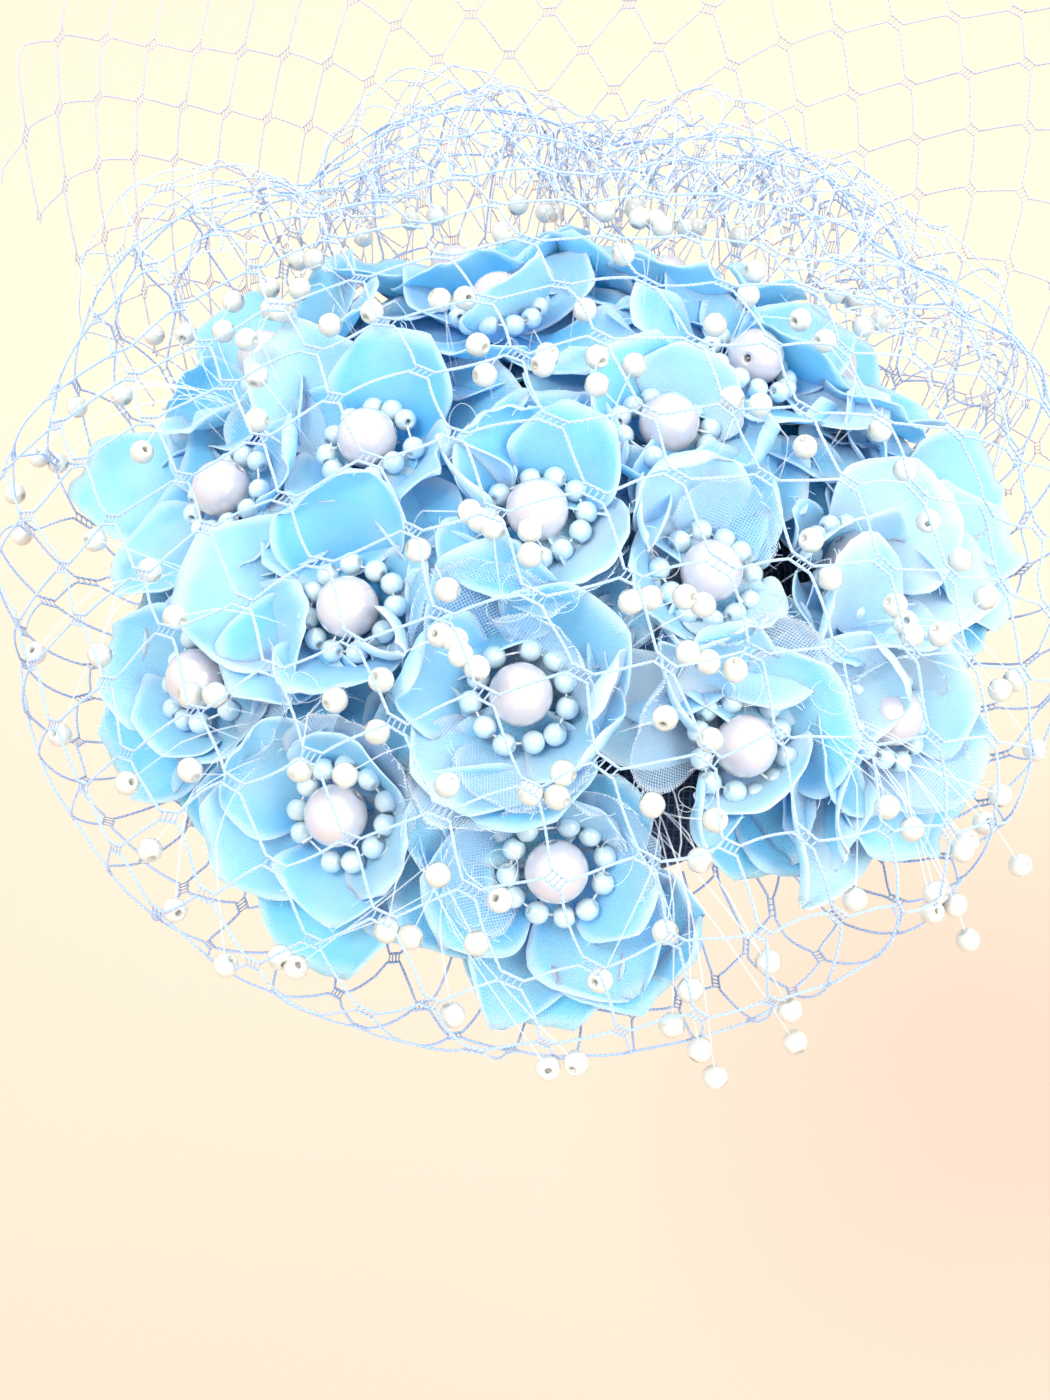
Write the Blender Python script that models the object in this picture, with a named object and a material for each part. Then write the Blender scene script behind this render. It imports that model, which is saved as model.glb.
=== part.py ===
"""A flower fascinator: a domed net base under a cushion of blue cloth flowers with pearl centres,
sprays of small pearls on clear thread, and a coarse veil that bags over the flowers and fans out behind.

Metres, +Z up. The origin is where the crown of a head meets the middle of the base's underside.
The front, towards the wearer's forehead, is -Y. The base is part of a ball round HEAD_CENTRE.
"""

import math

import bmesh
import bpy
from mathutils import Matrix, Vector
from mathutils.bvhtree import BVHTree

# Base: a shallow dome of stiff net that follows the head.
HEAD_RADIUS = 0.088
BASE_WALL = 0.002
BASE_HALF_ANGLE = math.radians(49)
BASE_SEGMENTS = 24
BASE_RINGS = 4

# Comb under the front of the base, whose teeth follow the dome.
COMB_TEETH = 7
COMB_WIDTH = 0.038
COMB_TOOTH_SHARE = 0.42
COMB_TOOTH_LENGTH = 0.026
COMB_TOOTH_DEPTH = 0.0014
COMB_SPINE_HEIGHT = 0.0045
COMB_SPINE_DEPTH = 0.0022
COMB_SPINE_FORWARD = 0.036
COMB_STEPS = 3

# Flowers: a ring of cupped petals on a short stem that is sewn to the base.
STEM_HEIGHT = 0.012
STEM_RADIUS = 0.0032
PETALS = 5
PETAL_LENGTH = 0.0175
PETAL_RISE = 0.0070
PETAL_HALF_WIDTH = 0.0135
PETAL_CUP = 0.0022
PETAL_TWIST = 0.0010
PETAL_TIP = 0.0020
PETAL_WALL = 0.001
CROWDING_ROUNDS = 3
CROWDING_LIFT = 0.20

# Pearl centres: one large pearl in a ring of small ones.
PEARL_RADIUS = 0.00525
BEAD_RADIUS = 0.0020
PEARL_SIDES = 10
BEAD_ROWS = 4

# Sprays: stiff clear threads that carry a pearl each.
THREAD_RADIUS = 0.0004
THREAD_SIDES = 5
SPRAY_STEM_RADIUS = 0.0006
SPRAY_ABOVE_PETALS = 0.0010

# Veil: coarse diamond net, first bagged over the flowers, then fanned out behind.
VEIL_ABOVE_SPRAYS = 0.0032
VEIL_BESIDE_PETALS = 0.0062
VEIL_THREAD = 0.0012
VEIL_TUCK_RADIUS = 0.023
VEIL_TUCK_ANGLE = math.radians(120)
VEIL_MESH_ACROSS = 0.0265
VEIL_MESH_ALONG = 0.0250
VEIL_CLOSEST_KNOTS = 0.008

# Ruffle: the bagged veil stands up in lobes round its back. Between lobes it keeps a share of its
# height, and its ends reach a little past the two sides.
RUFFLE_HEIGHT = 0.017
RUFFLE_SPREAD = 0.039
RUFFLE_LOBES = 9
RUFFLE_DIP = 0.45
RUFFLE_ENDS = math.radians(9)

# Fan: its root lies along the back of the rim, and its edge round the middle of the back.
FAN_REACH_LEFT = 0.119
FAN_REACH_RIGHT = 0.148
FAN_ROOT_LEFT = math.radians(135)
FAN_ROOT_RIGHT = math.radians(42)
FAN_SPREAD_LEFT = math.radians(168)
FAN_SPREAD_RIGHT = math.radians(-16)
FAN_COLUMNS = 8
FAN_ROWS = 3
FAN_WAVE = 0.007
FAN_WAVES = 4

SEAT_GAP = 0.0003
CUP_FLOOR_RADIUS = PEARL_RADIUS + 2 * BEAD_RADIUS + SEAT_GAP
CROWDING_GAP = PETAL_WALL + SPRAY_STEM_RADIUS + SEAT_GAP
HEAD_CENTRE = Vector((0, 0, -HEAD_RADIUS))
BASE_RADIUS = HEAD_RADIUS + BASE_WALL
CUP_FLOOR = BASE_RADIUS + STEM_HEIGHT
RIM_OUT = (BASE_RADIUS + HEAD_RADIUS) / 2 * math.sin(BASE_HALF_ANGLE)
RIM_UP = HEAD_RADIUS * math.cos(BASE_HALF_ANGLE) - HEAD_RADIUS
HEM_UP = RIM_UP - VEIL_THREAD / 2 - SEAT_GAP

# One row for each flower. Its axis from HEAD_CENTRE leans by a share of the base's half angle, spin
# turns its petals, and length is a share of PETAL_LENGTH. Angles are in degrees.
FLOWERS = (
    # name, lean, round from +X, spin, length
    ("01", 0.35, 177, 10, 1.03),
    ("02", 0.20, -92, 40, 1.00),
    ("03", 0.69, 179, 0, 1.00),
    ("04", 0.53, -136, 22, 1.12),
    ("05", 0.57, -94, 54, 1.00),
    ("06", 0.76, -57, 16, 1.03),
    ("07", 0.90, -88, 30, 0.85),
    ("08", 0.88, -119, 8, 0.85),
    ("09", 0.86, -150, 50, 0.85),
    ("10", 0.26, 8, 20, 1.00),
    ("11", 0.45, -42, 60, 0.97),
    ("12", 0.69, -16, 34, 1.00),
    ("13", 0.92, 6, 12, 0.78),
    ("14", 0.92, -33, 44, 0.75),
    ("15", 0.47, 101, 28, 1.15),
    ("16", 0.59, 36, 52, 1.09),
    ("17", 0.90, 37, 6, 0.81),
    ("18", 0.86, 68, 38, 0.85),
    ("19", 0.86, 104, 18, 0.88),
    ("20", 0.84, 142, 58, 0.88),
)

# Rows of a petal from the cup's floor to its tip, as shares of length, rise and half width.
PETAL_SECTIONS = (
    # length, rise, half width
    (0.10, 0.03, 0.54),
    (0.60, 0.42, 0.92),
    (0.96, 1.00, 0.62),
)

# Turned profiles in degrees from the equator, of the ring of small pearls and of the large pearl.
RING_PROFILE = (-60, 0, 60, 120)
PEARL_PROFILE = (0, 42)

# Sprays rise where three flowers meet. Each thread leans towards one flower, by a share of the way.
SPRAYS = (
    # name, the three flowers, (flower that a thread leans towards, share of the way)
    ("a", ("02", "04", "05"), (("02", 0.42), ("04", 0.46), ("05", 0.44))),
    ("b", ("02", "10", "11"), (("02", 0.44), ("10", 0.45), ("11", 0.45))),
    ("c", ("05", "07", "08"), (("05", 0.40), ("07", 0.46), ("08", 0.46))),
    ("d", ("06", "12", "14"), (("06", 0.44), ("12", 0.44), ("14", 0.46))),
    ("e", ("03", "04", "09"), (("03", 0.45), ("04", 0.46), ("09", 0.44))),
    ("f", ("10", "15", "16"), (("10", 0.40), ("15", 0.40), ("16", 0.42))),
)

# The fan from its root to its free edge. Distance is a share of the way from the rim to the bag's
# widest, and height is a share of how far the bag hangs below the rim.
FAN_SECTIONS = (
    # distance, height
    (0.00, 0.00),
    (0.48, -1.28),
    (0.85, -1.08),
    (1.29, -0.09),
    (1.86, 1.45),
    (2.73, 3.32),
    (3.60, 4.60),
)


def material(name, colour, roughness, metallic=0.0):
    """A Principled material in the piece's own colour."""
    made = bpy.data.materials.new(name)
    made.use_nodes = True
    shader = made.node_tree.nodes["Principled BSDF"]
    shader.inputs["Base Color"].default_value = (*colour, 1.0)
    shader.inputs["Roughness"].default_value = roughness
    shader.inputs["Metallic"].default_value = metallic
    return made


def add_object(name, mesh_maker, look, place=None):
    """A named object from a bmesh, given in its own coordinates and set down at place."""
    mesh = bpy.data.meshes.new(name)
    mesh_maker.to_mesh(mesh)
    mesh_maker.free()
    made = bpy.data.objects.new(name, mesh)
    made.matrix_world = place or Matrix.Identity(4)
    mesh.materials.append(look)
    bpy.context.scene.collection.objects.link(made)
    return made


def direction(lean, azimuth):
    """The unit vector that leans from +Z, and points at azimuth round it."""
    return Vector((math.sin(lean) * math.cos(azimuth), math.sin(lean) * math.sin(azimuth), math.cos(lean)))


def between(rows, share):
    """The table's second column at share of its first, on straight lines that run on past its ends."""
    for low, high in zip(rows, rows[1:]):
        if share <= high[0]:
            break
    part = (share - low[0]) / (high[0] - low[0])
    return low[1] + (high[1] - low[1]) * part


def spin_profile(maker, profile, sides):
    """Turns a profile of (distance out, height) round Z. Points on the axis become single poles."""
    rings = []
    for out, height in profile:
        if out < 1e-9:
            rings.append([maker.verts.new((0, 0, height))])
            continue
        turns = (2 * math.pi * k / sides for k in range(sides))
        rings.append([maker.verts.new((out * math.cos(a), out * math.sin(a), height)) for a in turns])
    for low, high in zip(rings, rings[1:]):
        for k in range(sides):
            after = (k + 1) % sides
            corners = [low[k % len(low)], low[after % len(low)], high[after % len(high)], high[k % len(high)]]
            maker.faces.new(dict.fromkeys(corners))
    bmesh.ops.recalc_face_normals(maker, faces=maker.faces)


def make_base(look):
    """The dome: an outer and an inner cap that meet at the rim."""
    angles = [BASE_HALF_ANGLE * k / BASE_RINGS for k in range(BASE_RINGS + 1)]
    outer = [(BASE_RADIUS * math.sin(a), BASE_RADIUS * math.cos(a) - HEAD_RADIUS) for a in angles]
    inner = [(HEAD_RADIUS * math.sin(a), HEAD_RADIUS * math.cos(a) - HEAD_RADIUS) for a in angles]
    maker = bmesh.new()
    spin_profile(maker, outer + inner[::-1], BASE_SEGMENTS)
    return add_object("base_dome", maker, look)


def make_comb(look, base_tree):
    """The comb: a bar under the front of the base, with teeth that bend along the dome."""
    lane = COMB_WIDTH / COMB_TEETH
    start = -math.asin(COMB_SPINE_FORWARD / HEAD_RADIUS)
    spine_turn = COMB_SPINE_HEIGHT / HEAD_RADIUS
    tooth_turn = COMB_TOOTH_LENGTH / HEAD_RADIUS
    turns = [start, start + spine_turn]
    turns += [turns[1] + tooth_turn * (k + 1) / COMB_STEPS for k in range(COMB_STEPS)]
    edges = [-COMB_WIDTH / 2]
    for k in range(COMB_TEETH):
        middle = -COMB_WIDTH / 2 + lane * (k + 0.5)
        edges += [middle - lane * COMB_TOOTH_SHARE / 2, middle + lane * COMB_TOOTH_SHARE / 2]
    edges += [COMB_WIDTH / 2]

    maker = bmesh.new()

    def corner(x, turn, depth):
        reach = math.sqrt(HEAD_RADIUS**2 - x**2)
        outwards = Vector((x, reach * math.sin(turn), reach * math.cos(turn))).normalized()
        room = base_tree.ray_cast(HEAD_CENTRE, outwards)[3]
        return maker.verts.new(HEAD_CENTRE + outwards * (room - SEAT_GAP - depth))

    depths = {0: COMB_SPINE_DEPTH, 1: COMB_SPINE_DEPTH}
    sheet = {}
    for row, turn in enumerate(turns):
        for column, x in enumerate(edges):
            top = corner(x, turn, 0.0)
            low = corner(x, turn, depths.get(row, COMB_TOOTH_DEPTH))
            sheet[row, column] = (top, low)
    filled = [(0, column) for column in range(len(edges) - 1)]
    filled += [(row, 2 * k + 1) for row in range(1, len(turns) - 1) for k in range(COMB_TEETH)]
    used = set(filled)
    for row, column in filled:
        a, b = sheet[row, column], sheet[row, column + 1]
        d, c = sheet[row + 1, column], sheet[row + 1, column + 1]
        maker.faces.new((a[0], b[0], c[0], d[0]))
        maker.faces.new((d[1], c[1], b[1], a[1]))
        sides = (
            ((row - 1, column), (a, b)),
            ((row + 1, column), (c, d)),
            ((row, column - 1), (d, a)),
            ((row, column + 1), (b, c)),
        )
        for neighbour, (p, q) in sides:
            if neighbour not in used:
                maker.faces.new((p[0], p[1], q[1], q[0]))
    bmesh.ops.delete(maker, geom=[v for v in maker.verts if not v.link_faces], context="VERTS")
    bmesh.ops.recalc_face_normals(maker, faces=maker.faces)
    return add_object("hair_comb", maker, look)


def flower_place(name):
    """The flower's frame: its origin on the axis at the cup's floor, and Z along the axis."""
    _, lean, azimuth, spin, _ = FLOWER_ROWS[name]
    axis = AXES[name]
    downhill = direction(lean * BASE_HALF_ANGLE + math.pi / 2, math.radians(azimuth))
    turned = Matrix((downhill, axis.cross(downhill), axis)).transposed().to_4x4()
    spun = Matrix.Rotation(math.radians(spin), 4, "Z")
    return Matrix.Translation(HEAD_CENTRE + axis * CUP_FLOOR) @ turned @ spun


def crowded(point, name):
    """The point, moved out of the neighbours' room and lifted, as petals that press on each other are."""
    for _ in range(CROWDING_ROUNDS):
        for other, axis in AXES.items():
            if other == name:
                continue
            away = (AXES[name] - axis).normalized()
            push = CROWDING_GAP - (point - HEAD_CENTRE).dot(away)
            if push > 0:
                point = point + away * push
                point += (point - HEAD_CENTRE).normalized() * push * CROWDING_LIFT
    return point


def grow_petal(maker, root, name, middle):
    """One petal from three corners of the cup's floor, out along the angle middle."""
    place = flower_place(name)
    to_own = place.inverted()
    length = PETAL_LENGTH * FLOWER_ROWS[name][4]
    along = Vector((math.cos(middle), math.sin(middle), 0))
    across = Vector((-along.y, along.x, 0))
    row = root
    for out, rise, width in PETAL_SECTIONS:
        after = []
        for side in (-1, 0, 1):
            tip = PETAL_TIP * (1 - abs(side))
            point = along * (CUP_FLOOR_RADIUS + (length + tip) * out)
            point += across * PETAL_HALF_WIDTH * width * side
            point.z = PETAL_RISE * rise + (PETAL_CUP * abs(side) + PETAL_TWIST * side) * out
            after.append(maker.verts.new(to_own @ crowded(place @ point, name)))
        for k in range(2):
            maker.faces.new((row[k], after[k], after[k + 1], row[k + 1]))
        row = after


def make_flower(name, look, base_tree):
    """Cupped petals in one piece with the floor of the cup, and the stem down to the base."""
    maker = bmesh.new()
    corners = 2 * PETALS
    floor = []
    for k in range(corners):
        outwards = direction(math.pi / 2, 2 * math.pi * k / corners)
        floor.append(maker.verts.new((*(CUP_FLOOR_RADIUS * outwards.xy), 0)))
    maker.faces.new(floor)
    for petal in range(PETALS):
        root = [floor[(2 * petal + k) % corners] for k in range(3)]
        grow_petal(maker, root, name, 2 * math.pi * (2 * petal + 1) / corners)
    bmesh.ops.recalc_face_normals(maker, faces=maker.faces)
    if max(maker.faces, key=lambda face: len(face.verts)).normal.z < 0:
        bmesh.ops.reverse_faces(maker, faces=maker.faces)
    bmesh.ops.solidify(maker, geom=maker.faces, thickness=PETAL_WALL)
    below = min((f for f in maker.faces if len(f.verts) == corners), key=lambda f: f.calc_center_median().z)
    start = HEAD_CENTRE + AXES[name] * CUP_FLOOR
    seat = base_tree.ray_cast(start, -AXES[name])[3] - SEAT_GAP
    made = bmesh.ops.extrude_face_region(maker, geom=[below])
    foot = [v for v in made["geom"] if isinstance(v, bmesh.types.BMVert)]
    bmesh.ops.delete(maker, geom=[below], context="FACES_ONLY")
    for vertex in foot:
        flat = vertex.co.xy.normalized() * STEM_RADIUS
        vertex.co = (flat.x, flat.y, -seat)
    bmesh.ops.recalc_face_normals(maker, faces=maker.faces)
    return add_object(f"flower_{name}", maker, look, flower_place(name))


def make_centre(name, look):
    """The large pearl and the ring of small pearls round it, turned as one body."""
    ring = PEARL_RADIUS + BEAD_RADIUS
    ring_up = -BEAD_RADIUS * math.sin(math.radians(RING_PROFILE[0]))
    profile = [(0, 0)]
    for angle in map(math.radians, RING_PROFILE):
        profile.append((ring + BEAD_RADIUS * math.cos(angle), ring_up + BEAD_RADIUS * math.sin(angle)))
    for angle in map(math.radians, PEARL_PROFILE):
        profile.append((PEARL_RADIUS * math.cos(angle), PEARL_RADIUS * (1 + math.sin(angle))))
    profile.append((0, 2 * PEARL_RADIUS))
    maker = bmesh.new()
    spin_profile(maker, [(out, height + SEAT_GAP) for out, height in profile], PEARL_SIDES)
    made = add_object(f"pearls_{name}", maker, look, flower_place(name))
    made.data.shade_smooth()
    return made


def add_bar(maker, start, end, radius, sides):
    """A closed round bar from start to end."""
    run = end - start
    place = Matrix.Translation((start + end) / 2) @ run.to_track_quat("Z", "Y").to_matrix().to_4x4()
    bmesh.ops.create_cone(
        maker, cap_ends=True, segments=sides, radius1=radius, radius2=radius, depth=run.length, matrix=place
    )


def farthest(names, measure):
    """The largest measure of any corner of the named objects, in the part's frame."""
    pieces = [bpy.data.objects[name] for name in names]
    return max(measure(piece.matrix_world @ corner.co) for piece in pieces for corner in piece.data.vertices)


def make_spray(row, level, look, base_tree):
    """A stem sewn to the base between three flowers, which parts at level into threads with a pearl each."""
    name, meeting, threads = row
    first, second, third = (AXES[n] for n in meeting)
    up = (second - first).cross(third - first).normalized()
    if up.z < 0:
        up.negate()
    top = HEAD_CENTRE + up * level
    foot = top - up * (base_tree.ray_cast(top, -up)[3] - SEAT_GAP)

    maker = bmesh.new()
    add_bar(maker, foot, top, SPRAY_STEM_RADIUS, THREAD_SIDES)
    stem = add_object(f"spray_{name}", maker, look)

    maker = bmesh.new()
    for flower, share in threads:
        end = HEAD_CENTRE + up.lerp(AXES[flower], share).normalized() * level
        add_bar(maker, top - up * SPRAY_STEM_RADIUS, end, THREAD_RADIUS, THREAD_SIDES)
        bead = Matrix.Translation(end) @ up.to_track_quat("Z", "Y").to_matrix().to_4x4()
        bmesh.ops.create_uvsphere(
            maker, u_segments=PEARL_SIDES, v_segments=BEAD_ROWS, radius=BEAD_RADIUS, matrix=bead
        )
    bmesh.ops.recalc_face_normals(maker, faces=maker.faces)
    pearls = add_object(f"spray_{name}_pearls", maker, look)
    pearls.hide_render = True
    pearls.display_type = "WIRE"
    join = stem.modifiers.new("join", "BOOLEAN")
    join.operation = "UNION"
    join.solver = "EXACT"
    join.use_self = True
    join.object = pearls
    return stem


class BagProfile:
    """The bagged veil from the crown to the hem: an arc over the flowers, a tighter one that tucks under
    them, and a straight run in to the rim."""

    def __init__(self, level, flower_names):
        self.dome = level + BEAD_RADIUS + VEIL_ABOVE_SPRAYS
        self.widest = farthest(flower_names, lambda point: point.xy.length) + VEIL_BESIDE_PETALS
        inner = self.dome - VEIL_TUCK_RADIUS
        self.turn = math.asin((self.widest - VEIL_TUCK_RADIUS) / inner)
        self.middle = Vector((inner * math.sin(self.turn), inner * math.cos(self.turn) - HEAD_RADIUS))
        self.shoulder = self.dome * self.turn
        self.tuck = self.shoulder + VEIL_TUCK_RADIUS * VEIL_TUCK_ANGLE
        self.hem = Vector((RIM_OUT, HEM_UP))
        self.whole = self.tuck + (self.hem - self.tucked(self.tuck)).length
        self.hang = HEM_UP - self.tucked(self.tuck).y

    def tucked(self, length):
        """A point of the tuck, as (distance out, height)."""
        angle = self.turn + (length - self.shoulder) / VEIL_TUCK_RADIUS
        return self.middle + VEIL_TUCK_RADIUS * Vector((math.sin(angle), math.cos(angle)))

    def at(self, length):
        """A point of the profile by its length from the crown, as (distance out, height)."""
        if length <= self.shoulder:
            angle = length / self.dome
            return Vector((self.dome * math.sin(angle), self.dome * math.cos(angle) - HEAD_RADIUS))
        if length <= self.tuck:
            return self.tucked(length)
        return self.tucked(self.tuck).lerp(self.hem, (length - self.tuck) / (self.whole - self.tuck))

    def ruffle(self, length, azimuth):
        """How far the veil stands off its smooth shape there."""
        back = max(0.0, math.sin(azimuth) + math.sin(RUFFLE_ENDS)) / (1 + math.sin(RUFFLE_ENDS))
        near = math.exp(-(((length - self.shoulder) / RUFFLE_SPREAD) ** 2))
        lobes = RUFFLE_DIP + (1 - RUFFLE_DIP) * abs(math.sin(azimuth * RUFFLE_LOBES / 2))
        return RUFFLE_HEIGHT * math.sqrt(back) * near * lobes


def net_object(name, maker, look):
    """Turns a flat mesh of diamonds into a net of square bars along its edges."""
    bmesh.ops.recalc_face_normals(maker, faces=maker.faces)
    made = add_object(name, maker, look)
    bars = made.modifiers.new("bars", "WIREFRAME")
    bars.thickness = VEIL_THREAD
    bars.offset = 0.0
    bars.use_even_offset = False
    bars.use_boundary = True
    bars.use_replace = True
    return made


def make_bagged_veil(bag, look):
    """The veil over the flowers: flat diamond net, cut round and gathered in under the base's rim."""
    whole = bag.whole
    reach = int(whole / min(VEIL_MESH_ACROSS, VEIL_MESH_ALONG)) + 2
    maker = bmesh.new()
    made = {}

    def flat(knot):
        return Vector((knot[0] * VEIL_MESH_ACROSS, knot[1] * VEIL_MESH_ALONG))

    def vertex(key, point):
        if key not in made:
            made[key] = maker.verts.new((*point, 0))
        return made[key]

    def on_hem(inside, outside):
        """Where the thread from one knot to the next crosses the hem."""
        start, run = flat(inside), flat(outside) - flat(inside)
        along = start.dot(run)
        to_hem = math.sqrt(along**2 + run.length_squared * (whole**2 - start.length_squared)) - along
        return start + run * to_hem / run.length_squared

    for i in range(-reach, reach + 1):
        for j in range(-reach, reach + 1):
            corners = ((i - 1, j), (i, j - 1), (i + 1, j), (i, j + 1))
            if (i + j) % 2 == 0 or all(flat(knot).length >= whole for knot in corners):
                continue
            loop = []
            for a, b in zip(corners, corners[1:] + corners[:1]):
                a_inside, b_inside = flat(a).length < whole, flat(b).length < whole
                if a_inside:
                    loop.append(vertex(a, flat(a)))
                if a_inside != b_inside:
                    loop.append(vertex(frozenset((a, b)), on_hem(a, b) if a_inside else on_hem(b, a)))
            if len(loop) > 2:
                maker.faces.new(loop)
    bmesh.ops.remove_doubles(maker, verts=maker.verts, dist=VEIL_CLOSEST_KNOTS)
    for knot in maker.verts:
        azimuth = math.atan2(knot.co.y, knot.co.x)
        hem = any(edge.is_boundary for edge in knot.link_edges)
        length = whole if hem else knot.co.xy.length
        out, up = bag.at(length)
        knot.co = (out * math.cos(azimuth), out * math.sin(azimuth), up)
        if not hem:
            knot.co += (knot.co - HEAD_CENTRE).normalized() * bag.ruffle(length, azimuth)
    return net_object("veil_bag", maker, look)


def make_fan_veil(bag, look):
    """The free end of the veil: gathered under the back of the rim, and fanned out behind."""
    columns, rows = 2 * FAN_COLUMNS, 2 * FAN_ROWS
    maker = bmesh.new()
    made = {}

    def vertex(i, j):
        if (i, j) in made:
            return made[i, j]
        side, part = i / columns, j / rows
        root = RIM_OUT * direction(math.pi / 2, FAN_ROOT_LEFT + (FAN_ROOT_RIGHT - FAN_ROOT_LEFT) * side)
        spread = FAN_SPREAD_LEFT + (FAN_SPREAD_RIGHT - FAN_SPREAD_LEFT) * side
        reach = FAN_REACH_LEFT + (FAN_REACH_RIGHT - FAN_REACH_LEFT) * math.sin(math.pi / 2 * side)
        edge = Vector((0, RIM_OUT, 0)) + reach * direction(math.pi / 2, spread)
        point = root.lerp(edge, part)
        out = (point.length - RIM_OUT) / (bag.widest - RIM_OUT)
        wave = FAN_WAVE * math.sin(2 * math.pi * FAN_WAVES * side) * part**2
        point.z = HEM_UP - VEIL_THREAD - SEAT_GAP + between(FAN_SECTIONS, out) * bag.hang + wave
        made[i, j] = maker.verts.new(point)
        return made[i, j]

    for i in range(1, columns):
        for j in range(rows):
            if (i + j) % 2 == 0:
                continue
            corners = [(i - 1, j), (i, j - 1), (i + 1, j), (i, j + 1)]
            maker.faces.new([vertex(*knot) for knot in corners if knot[1] >= 0])
    return net_object("veil_fan", maker, look)


for old in list(bpy.data.objects):
    bpy.data.objects.remove(old)

FLOWER_ROWS = {row[0]: row for row in FLOWERS}
AXES = {row[0]: direction(row[1] * BASE_HALF_ANGLE, math.radians(row[2])) for row in FLOWERS}

BASE_LOOK = material("navy_net", (0.010, 0.022, 0.055), 0.75)
COMB_LOOK = material("clear_plastic", (0.80, 0.84, 0.88), 0.25)
PETAL_LOOK = material("blue_cloth", (0.32, 0.62, 0.92), 0.55)
PEARL_LOOK = material("pearl", (0.90, 0.87, 0.85), 0.22)
THREAD_LOOK = material("pearl_spray", (0.90, 0.90, 0.86), 0.25)
VEIL_LOOK = material("blue_net", (0.58, 0.70, 0.90), 0.60)

base = make_base(BASE_LOOK)
base_tree = BVHTree.FromObject(base, bpy.context.evaluated_depsgraph_get())
make_comb(COMB_LOOK, base_tree)
for flower_row in FLOWERS:
    make_flower(flower_row[0], PETAL_LOOK, base_tree)
    make_centre(flower_row[0], PEARL_LOOK)
bpy.context.view_layer.update()
flower_names = [f"flower_{flower_row[0]}" for flower_row in FLOWERS]
petal_top = farthest(flower_names, lambda point: (point - HEAD_CENTRE).length)
spray_level = petal_top + SPRAY_ABOVE_PETALS + BEAD_RADIUS
for spray_row in SPRAYS:
    make_spray(spray_row, spray_level, THREAD_LOOK, base_tree)
bag_profile = BagProfile(spray_level, flower_names)
make_bagged_veil(bag_profile, VEIL_LOOK)
make_fan_veil(bag_profile, VEIL_LOOK)
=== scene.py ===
"""The looks of a flower fascinator: blue satin and gauze flowers with pearl centres on a dark net base,
small pearls on clear threads, and a coarse powder blue veil. Metres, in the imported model's own frame.
"""

import math
import random
from itertools import combinations

import bmesh
import bpy
import numpy as np
from mathutils import Matrix, Vector, noise


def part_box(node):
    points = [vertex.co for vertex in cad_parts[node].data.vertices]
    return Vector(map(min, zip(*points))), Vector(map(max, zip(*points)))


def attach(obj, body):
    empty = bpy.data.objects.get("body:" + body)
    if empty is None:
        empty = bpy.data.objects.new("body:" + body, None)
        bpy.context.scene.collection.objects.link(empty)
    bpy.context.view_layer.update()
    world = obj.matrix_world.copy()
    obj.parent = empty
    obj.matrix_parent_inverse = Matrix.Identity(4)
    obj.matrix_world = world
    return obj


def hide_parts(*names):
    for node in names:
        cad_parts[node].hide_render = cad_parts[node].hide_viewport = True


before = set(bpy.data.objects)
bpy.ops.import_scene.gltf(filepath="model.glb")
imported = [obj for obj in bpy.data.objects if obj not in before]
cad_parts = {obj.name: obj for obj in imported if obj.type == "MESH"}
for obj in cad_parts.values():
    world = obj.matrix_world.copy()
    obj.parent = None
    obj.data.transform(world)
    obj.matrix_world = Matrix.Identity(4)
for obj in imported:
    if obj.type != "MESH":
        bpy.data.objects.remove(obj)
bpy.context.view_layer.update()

# Camera: the photograph looks down on the front of the piece from about 0.4 m away.
# Its lens value is for a sensor 36 mm along the picture's longer side.
PHOTO_WIDTH = 1050
PHOTO_HEIGHT = 1400
SENSOR = 36.0
LENS = 51.59
CAMERA_PLACE = Vector((-0.0028, -0.24909, 0.28948))
CAMERA_TILT = math.radians(35)

bpy.ops.object.camera_add(location=CAMERA_PLACE, rotation=(CAMERA_TILT, 0, 0))
camera = bpy.context.object
camera.data.lens = LENS
camera.data.sensor_width = SENSOR
camera.data.clip_start = 0.01
bpy.context.scene.camera = camera


def line_of_sight(pixel):
    """The direction from the camera through a point of the photograph, given in its pixels."""
    reach = LENS / SENSOR * PHOTO_HEIGHT
    across, down = pixel
    local = Vector(((across - PHOTO_WIDTH / 2) / reach, (PHOTO_HEIGHT / 2 - down) / reach, -1))
    local.rotate(Matrix.Rotation(CAMERA_TILT, 3, "X"))
    return local.normalized()


# Light: a soft box above and behind the camera's left, weaker ones from the right and the back, and a
# pale room all round, as in a bright product photograph.
KEY_PLACE = Vector((-0.80, -0.50, 1.90))
KEY_SIZE = 0.62
KEY_POWER = 26.0
FILL_PLACE = Vector((1.30, -0.80, 1.00))
FILL_SIZE = 1.4
FILL_POWER = 25.0
BACK_PLACE = Vector((0.30, 1.20, 1.30))
BACK_SIZE = 1.4
BACK_POWER = 12.0
ROOM_COLOUR = (0.98, 0.99, 1.0, 1.0)
ROOM_STRENGTH = 1.34


def soft_box(place, size, power):
    """A square area light that faces the piece."""
    bpy.ops.object.light_add(type="AREA", location=place)
    light = bpy.context.object
    light.rotation_euler = (-place).to_track_quat("-Z", "Y").to_euler()
    light.data.size = size
    light.data.energy = power


soft_box(KEY_PLACE, KEY_SIZE, KEY_POWER)
soft_box(FILL_PLACE, FILL_SIZE, FILL_POWER)
soft_box(BACK_PLACE, BACK_SIZE, BACK_POWER)
room = bpy.data.worlds.new("room")
room.use_nodes = True
room.node_tree.nodes["Background"].inputs["Color"].default_value = ROOM_COLOUR
room.node_tree.nodes["Background"].inputs["Strength"].default_value = ROOM_STRENGTH
bpy.context.scene.world = room
bpy.context.scene.view_settings.view_transform = "Standard"


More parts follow.
